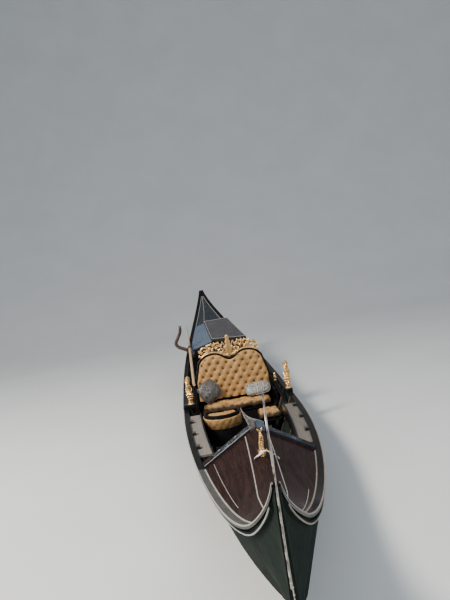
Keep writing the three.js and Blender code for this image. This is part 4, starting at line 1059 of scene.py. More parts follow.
def rail_piece(side):
    sign = SIGN[side]

    def section(x):
        low, high = rail_heights(x)
        a, b = (outer_y(x, z, side) + sign * GAP for z in (low, high))
        return [(a, low), (b, high), (b + sign * 0.013, high - 0.004),
                (a + sign * RAIL_THICK, low + 0.012), (a + sign * 0.016, low + 0.003)]

    strip_piece(f"rubbing_strake_{side}", RAIL_ENDS, 140, section, "hull", "black_lacquer",
                f"rubbing_rail_{side}", bevel=0.003)

    def wear_strip(x):
        low = rail_heights(x)[0]
        a = outer_y(x, low, side) + sign * (RAIL_THICK - 0.0025)
        return [(a, low + 0.004), (a + sign * 0.0045, low + 0.005),
                (a + sign * 0.0045, low + 0.013), (a - sign * 0.004, low + 0.018)]

    # The strake's pale strip is partly wear and partly a painted highlight, darker on the port side as
    # painted shade.
    look, aft = EDGING[side]
    strip_piece(f"strake_edging_{side}", (aft, RAIL_EDGING_FORE), 140, wear_strip, look,
                "grey_board", bevel=0.0015)


def joint_bead(side):
    """The half-round moulding that covers the joint between the bow deck and the gunwale."""
    sign = SIGN[side]

    def section(x):
        y, z = cap_inner(x, side), sheer_z(x)
        return [(y + sign * 0.007, z - 0.001), (y + sign * 0.003, z + 0.005),
                (y - sign * 0.004, z + 0.0055), (y - sign * 0.008, z + 0.002)]

    # Pale on starboard and darker on port, as the gunwale edging: with the wear, a painted highlight
    # and painted shade.
    strip_piece(f"bow_joint_bead_{side}", JOINT_ENDS, 60, section, EDGING[side][0], "grey_board",
                bevel=0.001)


def post_pieces():
    for node in ("stem_post", "stern_post"):
        bm = merged(node)
        for vert in bm.verts:
            middle = POST_SKEW * (BOW_X - vert.co.x)
            vert.co.y = middle + (vert.co.y - middle) * (1 - pinch(vert.co.x) / POST_TAPER)
        bevel_edges(bm, 0.002)
        dress(build(bm, f"{node}_timber", LOOKS["hull_paint"]), "bottom_paint", node)


# Timbers inside the boat
def frame_pieces():
    cad_piece("frames", "ribs", "inner", "inner_wood", 0.003)
    for node in ("bow_bulkhead", "stern_bulkhead"):
        cad_piece(node, f"{node}_panel", "inside", "black_lacquer", 0.002)


def board_floor(name, node, span, under, clear, count):
    """A floor of lengthwise boards with narrow gaps between them."""
    bm = bmesh.new()
    xs = stations(*span, 30)
    top = under + FLOOR_BOARD
    for i in range(count):
        def section(x, i=i):
            right, left = (inner_y(x, under, s, clear) for s in ("starboard", "port"))
            a = right + (left - right) * i / count + FLOOR_SEAM
            b = right + (left - right) * (i + 1) / count - FLOOR_SEAM
            return [(a, under), (b, under), (b, top), (a, top)]

        long_into(bm, xs, section)
    dress(build(bevel_edges(bm, 0.0025), name, LOOKS["inner"]), "inner_wood", node)


def coaming(side, span):
    """The upright board on the well's side of each side board."""
    sign = SIGN[side]

    def section(x):
        y = cap_inner(x, side) - sign * (SIDE_BOARD_WIDE + GAP)
        top = sheer_z(x) - 0.006
        return [(y - sign * 0.016, top - 0.16), (y - sign * 0.001, top - 0.16),
                (y - sign * 0.001, top), (y - sign * 0.016, top)]

    strip_piece(f"coaming_{side}", span, 24, section, "lacquer", "black_lacquer", bevel=0.005)


# Decks
def bow_deck_piece(side):
    rings = []
    for x in stations(DECK_AFT, DECK_FORE, 70):
        top = [bow_deck(x, t, side) for t in (0, 0.25, 0.5, 0.75, 1)]
        crown = [(y, z + 0.004 * math.sin(math.pi * i / 4)) for i, (y, z) in enumerate(top)]
        low = [(y, z - DECK_THICK) for y, z in top[::-1]]
        rings.append([(x, y, z) for y, z in crown + low])
    loft_piece(f"bow_deck_panel_{side}", rings, "deck", "black_lacquer", f"bow_deck_{side}")


def deck_bead(name, side, span, across, half):
    """A thin moulding along the bow deck, part of the way across from gunwale to ridge board."""
    rings = []
    for x in stations(*span, 40):
        y, z = bow_deck(x, across, side)
        y2, z2 = bow_deck(x, across + 0.01, side)
        run = Vector((0, y2 - y, z2 - z)).normalized()
        up = Vector((0, -run.z, run.y)) * (1 if run.y > 0 else -1)
        at = Vector((x, y, z))
        rings.append([at - run * half - up * 0.001, at + run * half - up * 0.001,
                      at + run * half * 0.6 + up * 0.004, at - run * half * 0.6 + up * 0.004])
    loft_piece(name, rings, "inlay", "black_lacquer", bevel=0.0008)


def ridge_piece():
    rings = []
    for x in stations(DECK_AFT, DECK_FORE, 70):
        y, half, z = middle_y(x), ridge_half(x), ridge_z(x) + 0.006
        low = z - DECK_SLOPE * half
        rings.append([(x, y - half, low - 0.02), (x, y + half, low - 0.02), (x, y + half, low),
                      (x, y + half * 0.12, z - 0.001), (x, y - half * 0.12, z - 0.001),
                      (x, y - half, low)])
    loft_piece("ridge_board", rings, "deck", "black_lacquer", "bow_deck_ridge", bevel=0.002,
               angle=14)


def scroll_relief(u, v, length, half):
    """Height of a carved foliage scroll, 0 to 1, at u along a band and v across it."""
    pitch = half * 2.2
    k = round(u / pitch - 0.5)
    best = 0.0
    for n in (k - 1, k, k + 1):
        hand = 1 if n % 2 else -1
        cu, cv = (n + 0.5) * pitch, hand * half * 0.12
        if not 0 < cu < length:
            continue
        du, dv = u - cu, (v - cv) * hand
        r = math.hypot(du, dv) / (half * 0.95)
        if r > 1.25:
            continue
        arm = math.cos(math.atan2(dv, du) * 2 - r * 7.5)
        lobes = 0.75 + 0.25 * math.cos(math.atan2(dv, du) * 9)
        best = max(best, max(0.0, arm) ** 0.7 * (1.15 - 0.75 * r) * lobes)
    stem = math.exp(-(((v - half * 0.55 * math.sin(math.pi * u / pitch)) / (half * 0.13)) ** 2))
    return min(1.0, max(best, 0.8 * stem))


def beam_span(x, side):
    """A beam at a station: its y at the gunwale and amidships, the sheer, and the beam's peak."""
    return deck_edge(x, side), middle_y(x) + SIGN[side] * GAP, sheer_z(x), ridge_z(x) + BEAM_PROUD


def beam_top(bm, side):
    """The top of a beam as a grid of points: a carved band between two rims."""
    layer = worn_layer(bm)
    grid = []
    for i in range(BEAM_COLUMNS + 1):
        t = i / BEAM_COLUMNS
        row = []
        for j in range(BEAM_ROWS + 1):
            f = j / BEAM_ROWS
            x = BEAM_AFT + BEAM_LONG * f
            outer, inner, low, high = beam_span(x, side)
            y = outer + (inner - outer) * t
            z = low + BEAM_PROUD + (high - low - BEAM_PROUD) * t
            along, across = abs(inner - outer) * t * BEAM_SLANT, BEAM_LONG * (f - 0.5)
            length = abs(inner - outer) * BEAM_SLANT
            inside = min(BEAM_LONG / 2 - abs(across), along - BEAM_END, length - along)
            sink, wear = 0.0, 0.45
            if inside > BEAM_RIM:
                wear = scroll_relief(along - 0.04, across, length - 0.06, BEAM_LONG / 2 - BEAM_RIM)
                sink = 0.007 * (1 - wear)
            vert = bm.verts.new((x, y, z - sink))
            # The carving's height also sets its worn mark, so its crowns take the bluish bare tone:
            # partly wear, partly a painted highlight.
            vert[layer] = wear * 0.7
            row.append(vert)
        grid.append(row)
    return grid


def beam_piece(side):
    """A beam of the gable, carved along its top."""
    xs = (BEAM_AFT, BEAM_AFT + BEAM_LONG)
    bm = bmesh.new()
    top = beam_top(bm, side)
    skin_grid(bm, top)
    bottoms = [[], []]
    for x in xs:
        outer, inner, low, high = beam_span(x, side)
        bottoms[0].append((x, outer, low - BEAM_DEEP))
        bottoms[1].append((x, inner, high - BEAM_PROUD - BEAM_DEEP))
    (a0, a1), (b0, b1) = ([bm.verts.new(p) for p in pair] for pair in bottoms)
    bm.faces.new([row[0] for row in top] + [b0, a0])
    bm.faces.new([a1, b1] + [row[-1] for row in reversed(top)])
    bm.faces.new(list(reversed(top[0])) + [a0, a1])
    bm.faces.new(top[-1] + [b1, b0])
    bm.faces.new((a0, b0, b1, a1))
    piece = build(bm, f"carved_beam_{side}", LOOKS["carved"], smooth=38)
    dress(piece, "black_lacquer", f"bow_beam_{side}")


def beam_edge(side, x, name):
    """The line along a beam's upper edge: black, but pale on the starboard beam's fore edge,
    a painted highlight.
    """
    outer, inner, low, high = beam_span(x, side)
    low += BEAM_PROUD
    ends = ((outer, low), ((outer + inner) / 2, (low + high) / 2), (inner, high))
    # Painted highlight: only the starboard beam's fore line is pale; the others stay black.
    look = "inlay" if side == "starboard" and x > BEAM_AFT + BEAM_LONG / 2 else "carved"
    tube_piece(name, [(x, y, z, 0.003, 0.003) for y, z in ends], 12, 10, look, "grey_board",
               across=(1, 0, 0))


def beam_end(side):
    """The plain varnished end of a beam, outboard of its carving."""
    sign = SIGN[side]
    rings = []
    for x in (BEAM_AFT + 0.008, BEAM_AFT + BEAM_LONG - 0.008):
        outer, inner, low, high = beam_span(x, side)
        low += BEAM_PROUD
        reach = outer - sign * BEAM_END
        rise = (high - low) * BEAM_END / abs(inner - outer)
        rings.append([(x, outer - sign * 0.002, low - 0.004), (x, reach, low + rise - 0.004),
                      (x, reach, low + rise + 0.002), (x, outer - sign * 0.002, low + 0.002)])
    loft_piece(f"beam_end_{side}", rings, "deck", "black_lacquer")


def stern_panel_piece(side):
    rings = []
    for x in stations(PLATE_FORE + 0.001, STERN_FORE, 30):
        top = [stern_deck(x, t, side) for t in (0, 0.5, 1)]
        rings.append([(x, y, z) for y, z in top] + [(x, y, z - 0.016) for y, z in top[::-1]])
    # The starboard panel is blue, a painted reflection of the sky; the port one is plain black lacquer.
    look = "sky_varnish" if side == "starboard" else "lacquer"
    loft_piece(f"stern_deck_panel_{side}", rings, look, "black_lacquer", f"stern_deck_{side}")


def stern_plate_point(x, across):
    """The carved plate's top; across runs from -1 at the starboard edge to 1 at the port one."""
    t = (PLATE_FORE - x) / (PLATE_FORE - PLATE_AFT)
    p, s = deck_edge(x, "port"), deck_edge(x, "starboard")
    y = stern_edge(PLATE_FORE)[0] * (1 - t) + (p + s) / 2 * t
    rise = EDGE_LIFT * (1 - t) + 0.006
    side = p if across > 0 else s
    return y + (side - y) * abs(across), sheer_z(x) + rise * (1 - abs(across))


def stern_plate_piece():
    bm = bmesh.new()
    layer = worn_layer(bm)
    grid = []
    for i in range(PLATE_COLUMNS + 1):
        x = PLATE_AFT + (PLATE_FORE - PLATE_AFT) * i / PLATE_COLUMNS
        row = []
        for j in range(PLATE_ROWS + 1):
            across = -1 + 2 * j / PLATE_ROWS
            y, z = stern_plate_point(x, across)
            half = mean_half(x) - cap_wide(x)
            v = (abs(across) - 0.5) * half
            height = scroll_relief(x - PLATE_AFT, v, 1.15, max(0.02, half * 0.42))
            rim = abs(across) > 0.9 or abs(across) < 0.06
            vert = bm.verts.new((x, y, z - (0 if rim else 0.006 * (1 - height))))
            # As on the beams, the crowns' bluish bare tone is partly wear and partly a painted
            # highlight.
            vert[layer] = 0.25 if rim else 0.55 * height
            row.append(vert)
        grid.append(row)
    skin_grid(bm, grid)
    close_sheet(bm, lambda p: (p.x, p.y, p.z - 0.012))
    piece = build(bm, "carved_stern_plate", LOOKS["carved"], smooth=40)
    dress(piece, "black_lacquer", "stern_deck_plate")
    for name, across in (("starboard", -0.93), ("middle", 0.0), ("port", 0.93)):
        rows = [(x, *stern_plate_point(x, across), 0.005, 0.004)
                for x in stations(PLATE_AFT + 0.01, PLATE_FORE, 24)]
        tube_piece(f"stern_plate_line_{name}", rows, 60, 8, "edging", "grey_board")


def mat_top(x, across):
    """The raised mat board's top; across runs from 0 at the middle to 1 at the port edge."""
    y, z = stern_edge(x)
    inner, outer = y + 0.004, edge_y(x, "port") - 0.02
    high, low = z + 0.04, sheer_z(x) + 0.11
    return inner + (outer - inner) * across, high + (low - high) * across


def mat_piece():
    cad_piece("rowing_mat_board", "mat_board", "inside", "grey_mat", 0.004)
    rings = []
    for x in stations(MAT_AFT + 0.015, MAT_FORE - 0.015, 24):
        points = [mat_top(x, t) for t in (0.04, 0.35, 0.65, 0.965)]
        rings.append([(x, y, z + 0.006) for y, z in points]
                     + [(x, y, z - 0.001) for y, z in points[::-1]])
    loft_piece("rowing_mat", rings, "mat", "grey_mat", bevel=0.002)
    strips = {}
    for name, across in (("inboard", 0.015), ("outboard", 0.985)):
        strips[name] = [(x, *mat_top(x, across)) for x in stations(MAT_AFT, MAT_FORE, 8)]
    for name, x in (("aft", MAT_AFT + 0.002), ("fore", MAT_FORE)):
        strips[name] = [(x, *mat_top(x, across)) for across in (0.02, 0.3, 0.6, 0.98)]
    heads = []
    for name, path in strips.items():
        tube_piece(f"mat_strip_{name}", [(*p, 0.007, 0.005) for p in path], 40, 8, "edging",
                   "grey_mat", across=(0, 0.6, 1))
        for i in range(9):
            at = spline(path, (i + 0.5) / 9)
            heads.append((at + Vector((0, 0, 0.005)), (0, 0.1, 1)))
    dress(round_heads("mat_nails", heads, 0.005, 0.003, LOOKS["steel"]), "polished_steel")


# The passengers' seat
def bezier(points, t):
    a, b, c, d = (Vector(p) for p in points)
    u = 1 - t
    return a * u**3 + b * 3 * u * u * t + c * 3 * u * t * t + d * t**3


def lobe_line(inset):
    """The lobed top of the seat's back, from starboard to port, as (y from the middle, z)."""
    half = []
    for i in range(LOBE_STEPS):
        half.append(bezier([(0.46 - inset, 0.88 - inset), (0.4 - inset, 1.0 - inset),
                            (0.2, 1.02 - inset), (0.12, 0.955 - inset)], i / LOBE_STEPS))
    for i in range(LOBE_STEPS // 2 + 1):
        t = 2 * i / LOBE_STEPS
        u = 1 - t
        half.append(Vector((0.12, 0.955 - inset)) * u * u
                    + Vector((0.06, 0.9 - inset)) * 2 * u * t + Vector((0, 0.893 - inset)) * t * t)
    left = [Vector((-p.x, p.y)) for p in half]
    return left + half[::-1][1:]


def back_half(z, inset):
    """Half the back's width at a height, below the lobes."""
    if z <= BACK_STRAIGHT_Z:
        return BACK_FOOT_HALF - inset
    t = min(1.0, (z - BACK_STRAIGHT_Z) / (BACK_LOBE_Z - BACK_STRAIGHT_Z))
    return BACK_FOOT_HALF + (BACK_TOP_HALF - BACK_FOOT_HALF) * t - inset


def top_at(y, line):
    for a, b in zip(line, line[1:]):
        if a.x <= y <= b.x:
            return a.y + (b.y - a.y) * (y - a.x) / max(1e-9, b.x - a.x)
    return line[0].y


def tuft(y, z, button_gap, row_gap):
    """Height of deep buttoning, 0 in the folds to 1 on the crowns, and the distance to a button."""
    p = y / button_gap + z / (2 * row_gap)
    q = y / button_gap - z / (2 * row_gap)
    height = (abs(math.sin(math.pi * p)) * abs(math.sin(math.pi * q))) ** 0.55
    a, b = round(p), round(q)
    by, bz = (a + b) * button_gap / 2, (a - b) * row_gap
    return height, math.hypot(y - by, z - bz)


def back_pad_piece(seat):
    """The padded back, buttoned in diamonds, with its border rounded over."""
    line = lobe_line(BACK_INSET)
    columns, rows = 176, 92
    bm = bmesh.new()
    grid = []
    for j in range(rows + 1):
        row = []
        for i in range(columns + 1):
            s = -1 + 2 * i / columns
            top = top_at(s * (BACK_TOP_HALF - BACK_INSET), line)
            z = BACK_FOOT + j / rows * (top - BACK_FOOT)
            half = back_half(min(z, BACK_LOBE_Z), BACK_INSET)
            y = s * half
            height, near = tuft(y, z - BUTTON_Z, seat.button_gap, seat.row_gap)
            rim = min(1.0, max(0.0, min(half - abs(y), top - z)) / 0.05)
            edge = 0.03 * (1 - math.sqrt(max(0.0, 1 - (1 - rim) ** 2)))
            fold = 0.005 * (1 - height) + 0.013 * math.exp(-((near / 0.03) ** 2))
            fold += 0.01 * math.exp(-((near / 0.014) ** 2))
            lump = 0.006 * noise.noise(Vector((y * 14, z * 14, 3.7)))
            x = BACK_FRONT - 0.003 - edge - fold * min(1.0, rim * 1.4) + lump
            row.append(bm.verts.new((x, SEAT_Y + y, z)))
        grid.append(row)
    skin_grid(bm, grid)
    close_sheet(bm, lambda p: (BACK_REAR, p.y, p.z))
    piece = build(bm, "buttoned_back", LOOKS["gold"], smooth=75)
    # The hollows give painted shade round the buttons.
    mark_hollows(piece, 420)
    dress(piece, "gold_brocade", "seat_back_pad")
    back_buttons(seat, line)


def back_buttons(seat, line):
    heads = []
    for a in range(-14, 15):
        for b in range(-14, 15):
            y, z = (a + b) * seat.button_gap / 2, (a - b) * seat.row_gap + BUTTON_Z
            top = top_at(max(-0.43, min(0.43, y)), line)
            inside = abs(y) < back_half(z, BACK_INSET) - 0.03
            if BACK_FOOT + 0.05 < z < top - 0.035 and inside:
                heads.append(((BACK_FRONT - 0.0285, SEAT_Y + y, z), (1, 0, 0)))
    dress(round_heads("back_buttons", heads, 0.0155, 0.008, LOOKS["button"]), "gold_brocade")


def back_rim_piece():
    """The lobed lacquered frame round the padding, and the bead on its front."""
    cad_piece("seat_back", "back_frame", "lacquer", "black_lacquer", 0.005)
    up = (0.36, 0.45, 0.6, 0.74)
    line = [(SEAT_Y - back_half(z, BEAD_INSET), z) for z in up]
    line += [(SEAT_Y + p.x, p.y) for p in lobe_line(BEAD_INSET)]
    line += [(SEAT_Y + back_half(z, BEAD_INSET), z) for z in up[::-1]]
    rows = [(BACK_FRONT - 0.02, y, z, 0.0085, 0.0085) for y, z in line]
    tube_piece("back_bead", rows, 160, 10, "lacquer", "black_lacquer", across=(1, 0, 0))


def scroll_rows(centre, start, turns, reach, hand, width, depth, x):
    """Rows of a limb that winds inwards round a centre in the plane of the crest."""
    rows = []
    count = int(abs(turns) * 10) + 3
    for i in range(count + 1):
        t = i / count
        a = start + hand * turns * 2 * math.pi * t
        r = reach * (1 - t) ** 0.85 + 0.004
        fat = width * (1 - 0.62 * t)
        rows.append((x, centre[0] + math.cos(a) * r, centre[1] + math.sin(a) * r, fat, depth))
    return rows


def leaf_into(bm, root, tip, wide, x, thick):
    """A carved leaf with a lobed edge and a raised middle, lying in the crest's plane."""
    root, tip = Vector(root), Vector(tip)
    run = tip - root
    side = Vector((-run.y, run.x)).normalized()
    rings = []
    count = 14
    for i in range(count + 1):
        t = i / count
        at = root + run * t
        half = wide * math.sin(math.pi * min(1, t * 0.92 + 0.06)) ** 0.7
        half *= 0.78 + 0.22 * math.cos(t * LEAF_LOBES * 2 * math.pi)
        half = max(0.0015, half)
        curl = thick * 0.8 * math.sin(math.pi * t)
        ring = []
        for u, lift in ((-1, -0.3), (-0.55, 0.55), (0, 0.2), (0.55, 0.55), (1, -0.3), (0, -0.9)):
            p = at + side * half * u
            ring.append((x + thick * lift + curl, p.x, p.y))
        rings.append(ring)
    loft_into(bm, rings)


def crest_side(bm, x, hand):
    """The scrolls, limb and leaves on one side of the crest."""
    for (y, z), start, turns, reach, way, width, depth in CREST_SCROLLS:
        a = start if hand > 0 else math.pi - start
        rows = scroll_rows((SEAT_Y + hand * y, z), a, turns, reach, way * hand, width, depth, x)
        tube_into(bm, rows, 60, 8, across=(1, 0, 0))
    limb = [(x, SEAT_Y + hand * y, z, wide, deep) for y, z, wide, deep in CREST_LIMB]
    tube_into(bm, limb, 40, 8, across=(1, 0, 0))
    for y0, z0, y1, z1, wide in CREST_LEAVES:
        leaf_into(bm, (SEAT_Y + hand * y0, z0), (SEAT_Y + hand * y1, z1), wide, x, CREST_LEAF)


def crest_piece():
    """The carved and gilt crest: scrolls and leaves on both sides of a vase."""
    bm = bmesh.new()
    x = CREST_X - 0.02
    for hand in (-1, 1):
        crest_side(bm, x, hand)
    loft_into(bm, [[(x + math.cos(a) * min(radius, VASE_FLAT), SEAT_Y + math.sin(a) * radius, z)
                    for a in angles(20)] for radius, z in VASE])
    box_into(bm, (x - 0.018, SEAT_Y - 0.38, 0.905), (x + 0.002, SEAT_Y + 0.38, 0.985))
    piece = build(bm, "carved_crest", LOOKS["carved_gilt"])
    carve_smooth(piece, 0.003, 1)
    mark_hollows(piece, 520)
    dress(piece, "gilt_brass", "seat_back_crest")


def cushion_into(bm, low, high, radius, crown, columns, rows, shape):
    """A rounded pad as a closed grid: flat below, crowned above, with its corners pulled in."""
    (x0, y0, z0), (x1, y1, z1) = low, high
    cx, cy = (x0 + x1) / 2, (y0 + y1) / 2
    hx, hy = (x1 - x0) / 2, (y1 - y0) / 2

    def outline(u, v):
        """Maps the square to a rounded rectangle."""
        x, y = u * hx, v * hy
        ox, oy = abs(x) - (hx - radius), abs(y) - (hy - radius)
        if ox > 0 and oy > 0:
            k = max(ox, oy) / math.hypot(ox, oy)
            x = math.copysign(hx - radius + ox * k, x)
            y = math.copysign(hy - radius + oy * k, y)
        return x, y

    def height(u, v, x, y, upper):
        edge = max(abs(u), abs(v))
        drop = (1 - math.sqrt(max(0.0, 1 - edge**9))) if edge < 1 else 1.0
        if not upper:
            return z0 + (z1 - z0) * 0.3 * drop
        z = z1 - crown * (u * u * 0.5 + v * v * 0.5) - (z1 - z0) * 0.5 * drop
        return z + shape(x + cx, y + cy) * (1 - edge**6)

    sheets = []
    for upper in (True, False):
        grid = []
        for i in range(columns + 1):
            row = []
            for j in range(rows + 1):
                u, v = -1 + 2 * i / columns, -1 + 2 * j / rows
                x, y = outline(u, v)
                row.append(bm.verts.new((cx + x, cy + y, height(u, v, x, y, upper))))
            grid.append(row)
        sheets.append(grid)
    loops = []
    for grid, up in zip(sheets, (True, False)):
        skin_side(bm, grid, up)
        ring = [grid[i][0] for i in range(columns + 1)]
        ring += [grid[columns][j] for j in range(1, rows + 1)]
        ring += [grid[i][rows] for i in range(columns - 1, -1, -1)]
        loops.append(ring + [grid[0][j] for j in range(rows - 1, 0, -1)])
    a, b = loops
    for i in range(len(a)):
        j = (i + 1) % len(a)
        bm.faces.new((a[i], b[i], b[j], a[j]))


def pad_piece(name, low, high, radius, node, look, shape, crown, density, wrinkles):
    """A stuffed pad: swelled as cloth, then wrinkled in rounds of (depth, scale, seed)."""
    bm = bmesh.new()
    columns = max(12, int((high[0] - low[0]) / density))
    rows = max(12, int((high[1] - low[1]) / density))
    cushion_into(bm, low, high, radius, crown, columns, rows, shape)
    piece = build(bm, name, LOOKS[look], smooth=80)
    swell(piece, PAD_PRESSURE, PAD_CAP)
    refine(piece)
    dress(piece, "gold_brocade", node)
    for depth, scale, seed in wrinkles:
        wrinkle(piece, depth, scale, seed)
    mark_hollows(piece, 120)


def seat_cushion_piece(seat):
    def buttons(x, y):
        height, near = tuft(y - SEAT_Y, x + 0.24, seat.button_gap * 1.1, 0.075)
        return -0.012 * (1 - height) - 0.008 * math.exp(-((near / 0.014) ** 2))

    pad_piece("seat_squab", (-0.498, SEAT_Y - 0.486, SEAT_BASE + 0.001),
              (-0.154, SEAT_Y + 0.486, 0.333), 0.05, "seat_cushion", "gold_squab", buttons,
              0.008, 0.009, ((0.018, 9.0, 0.0), (0.009, 22.0, 4.0)))


def wrinkle(piece, depth, scale, seed=0.0):
    """Moves points along their normals by smooth noise."""
    shift = Vector((seed, 5.2, 1.3))
    moved = []
    for vert in piece.data.vertices:
        push = noise.noise(vert.co * scale + shift)
        moved.extend(vert.co + vert.normal * (push * depth - depth * 0.4))
    piece.data.vertices.foreach_set("co", moved)
    piece.data.update()


def pillow_into(bm, sizes, seed):
    """A pillow about its own middle: full there, and drawn in between its corners."""
    wide, high, thick = sizes
    count = 34
    for face in (1, -1):
        grid = []
        for i in range(count + 1):
            row = []
            for j in range(count + 1):
                u, v = -1 + 2 * i / count, -1 + 2 * j / count
                y = u * wide / 2 * math.sqrt(1 - PILLOW_DRAW * v * v)
                z = v * high / 2 * math.sqrt(1 - PILLOW_DRAW * u * u)
                full = ((1 - u**2) * (1 - v**2)) ** 0.36
                at = Vector((face * thick / 2 * full, y, z))
                at.x += 0.006 * noise.noise(at * 22 + Vector((seed, 0, 0))) * full
                row.append(bm.verts.new(at))
            grid.append(row)
        skin_side(bm, grid, face > 0)
    bmesh.ops.remove_doubles(bm, verts=bm.verts, dist=1e-5)


def piping_rows(sizes, move, shift):
    """The cord round a pillow's edge, with twelve points to a side."""
    wide, high, _ = sizes
    rows = []
    for k in range(4 * 12):
        t = k / 12
        s = (t % 1) * 2 - 1
        pull, end = math.sqrt(1 - PILLOW_DRAW * s * s), s * math.sqrt(1 - PILLOW_DRAW)
        u, v = ((end, -pull), (pull, end), (-end, pull), (-pull, -end))[int(t)]
        rows.append((*(move @ Vector((0, u * wide / 2, v * high / 2)) + shift), 0.0045, 0.0045))
    return rows + rows[:1]


def pillow_piece(name, node, sizes, y, tilt, turn, spin, look, seed):
    """A brocade pillow that leans on the back, with a cord round its edge."""
    bm = bmesh.new()
    pillow_into(bm, sizes, seed)
    move = Matrix.Rotation(turn, 4, "Z") @ Matrix.Rotation(tilt, 4, "Y")
    move = move @ Matrix.Rotation(spin, 4, "X")
    bmesh.ops.transform(bm, matrix=move, verts=bm.verts)
    low_x = min(v.co.x for v in bm.verts)
    low_z = min(v.co.z for v in bm.verts)
    shift = Vector((BACK_FRONT + 0.004 - low_x, y, 0.338 - low_z))
    bmesh.ops.translate(bm, vec=shift, verts=bm.verts)
    piece = build(bm, name, LOOKS[look], smooth=85)
    swell(piece, 2.5, 0.012)
    wrinkle(piece, 0.008, 8.0, seed)
    wrinkle(piece, 0.003, 24.0, seed + 5)
    refine(piece)
    mark_hollows(piece, 150)
    dress(piece, "silver_cloth", node)
    tube_piece(f"{name}_piping", piping_rows(sizes, move, shift), 150, 8, look, "silver_cloth",
               across=tuple(move @ Vector((1, 0, 0))))


def seat_frame_piece():
    """The seat's box and its two arms, each a pair of lacquered rails."""
    bm = bmesh.new()
    y0, y1 = SEAT_Y - 0.52, SEAT_Y + 0.52
    f0, f1, board = -0.27, 0.56, 0.018
    floor = FLOOR_TOP + GAP
    for low, high in (
        ((SEAT_BACK_X, y0, SEAT_BASE - board), (SEAT_FRONT_X, y1, SEAT_BASE)),
        ((SEAT_FRONT_X - board, f0, floor), (SEAT_FRONT_X, f1, SEAT_BASE - 0.002)),
        ((SEAT_BACK_X, f0, floor), (SEAT_BACK_X + board, f1, SEAT_BASE - 0.002)),
        ((SEAT_BACK_X, f0, floor), (SEAT_FRONT_X, f0 + board, SEAT_BASE - 0.002)),
        ((SEAT_BACK_X, f1 - board, floor), (SEAT_FRONT_X, f1, SEAT_BASE - 0.002)),
    ):
        box_into(bm, low, high)
    for y, inward in ((y0 - 0.036, 1), (y1 + 0.036, -1)):
        foot = (y - 0.008, y + 0.046) if inward > 0 else (y - 0.046, y + 0.008)
        box_into(bm, (SEAT_BACK_X + 0.06, y - 0.008, SEAT_BASE - 0.01),
                 (SEAT_FRONT_X - 0.066, y + 0.008, SEAT_BASE + 0.15))
        box_into(bm, (SEAT_BACK_X + 0.08, foot[0], SEAT_BASE - 0.014),
                 (SEAT_FRONT_X - 0.09, foot[1], SEAT_BASE - 0.004))
        box_into(bm, (-0.34, y - 0.01, SEAT_BASE + 0.1), (-0.306, y + 0.01, 0.5))
    bevel_edges(bm, 0.003)
    for y, inward in ((y0 - 0.036, 1), (y1 + 0.036, -1)):
        for off in (-0.012, 0.012):
            rows = [(SEAT_BACK_X + 0.062, y + off, 0.572, 0.0095, 0.014),
                    (-0.3, y - inward * 0.006 + off, 0.502, 0.01, 0.014),
                    (0, y - inward * 0.016 + off, 0.422, 0.01, 0.014),
                    (0.235, y - inward * 0.024 + off, 0.356, 0.009, 0.012),
                    (0.26, y - inward * 0.024 + off, 0.345, 0.006, 0.008)]
            tube_into(bm, rows, 40, 12)
        for x, z in ((-0.29, 0.5), (-0.06, 0.437), (0.2, 0.366)):
            tube_into(bm, [(x, y - inward * 0.012 - 0.013, z, 0.009, 0.007),
                           (x, y - inward * 0.012 + 0.013, z, 0.009, 0.007)], 3, 8,
                      across=(1, 0, 0))
    piece = build(bm, "seat_box_and_arms", LOOKS["lacquer"])
    dress(piece, "black_lacquer", "seat_frame")


def arm_finial(y):
    """A small turned and gilt knob that stands on the port arm."""
    bm = bmesh.new()
    profile = [(0.012, 0), (0.017, 0.006), (0.009, 0.016), (0.016, 0.034), (0.02, 0.05),
               (0.014, 0.068), (0.009, 0.08), (0.014, 0.094), (0.01, 0.106), (0.002, 0.114)]
    lathe_into(bm, profile, (-0.3, y, 0.512), 16)
    piece = build(bm, "arm_finial", LOOKS["gilt"])
    mark_hollows(piece, 120)
    dress(piece, "gilt_brass")


# Loose furniture
def barrel(inset, s):
    """The armchair's plan: s runs from the starboard arm (0) round the back to the port arm (1)."""
    rx, ry = CHAIR_DEEP / 2 - inset, CHAIR_WIDE / 2 - inset
    arm, bend = CHAIR_DEEP / 2, math.pi * (rx + ry) / 2
    length = 2 * arm + bend
    d = s * length
    if d < arm:
        return Vector((CHAIR_X - arm + d, CHAIR_Y - ry, 0)), Vector((0, -1, 0))
    if d > arm + bend:
        return Vector((CHAIR_X - (d - arm - bend), CHAIR_Y + ry, 0)), Vector((0, 1, 0))
    a = -math.pi / 2 + math.pi * (d - arm) / bend
    out = Vector((math.cos(a) / rx, math.sin(a) / ry, 0)).normalized()
    return Vector((CHAIR_X + math.cos(a) * rx, CHAIR_Y + math.sin(a) * ry, 0)), out


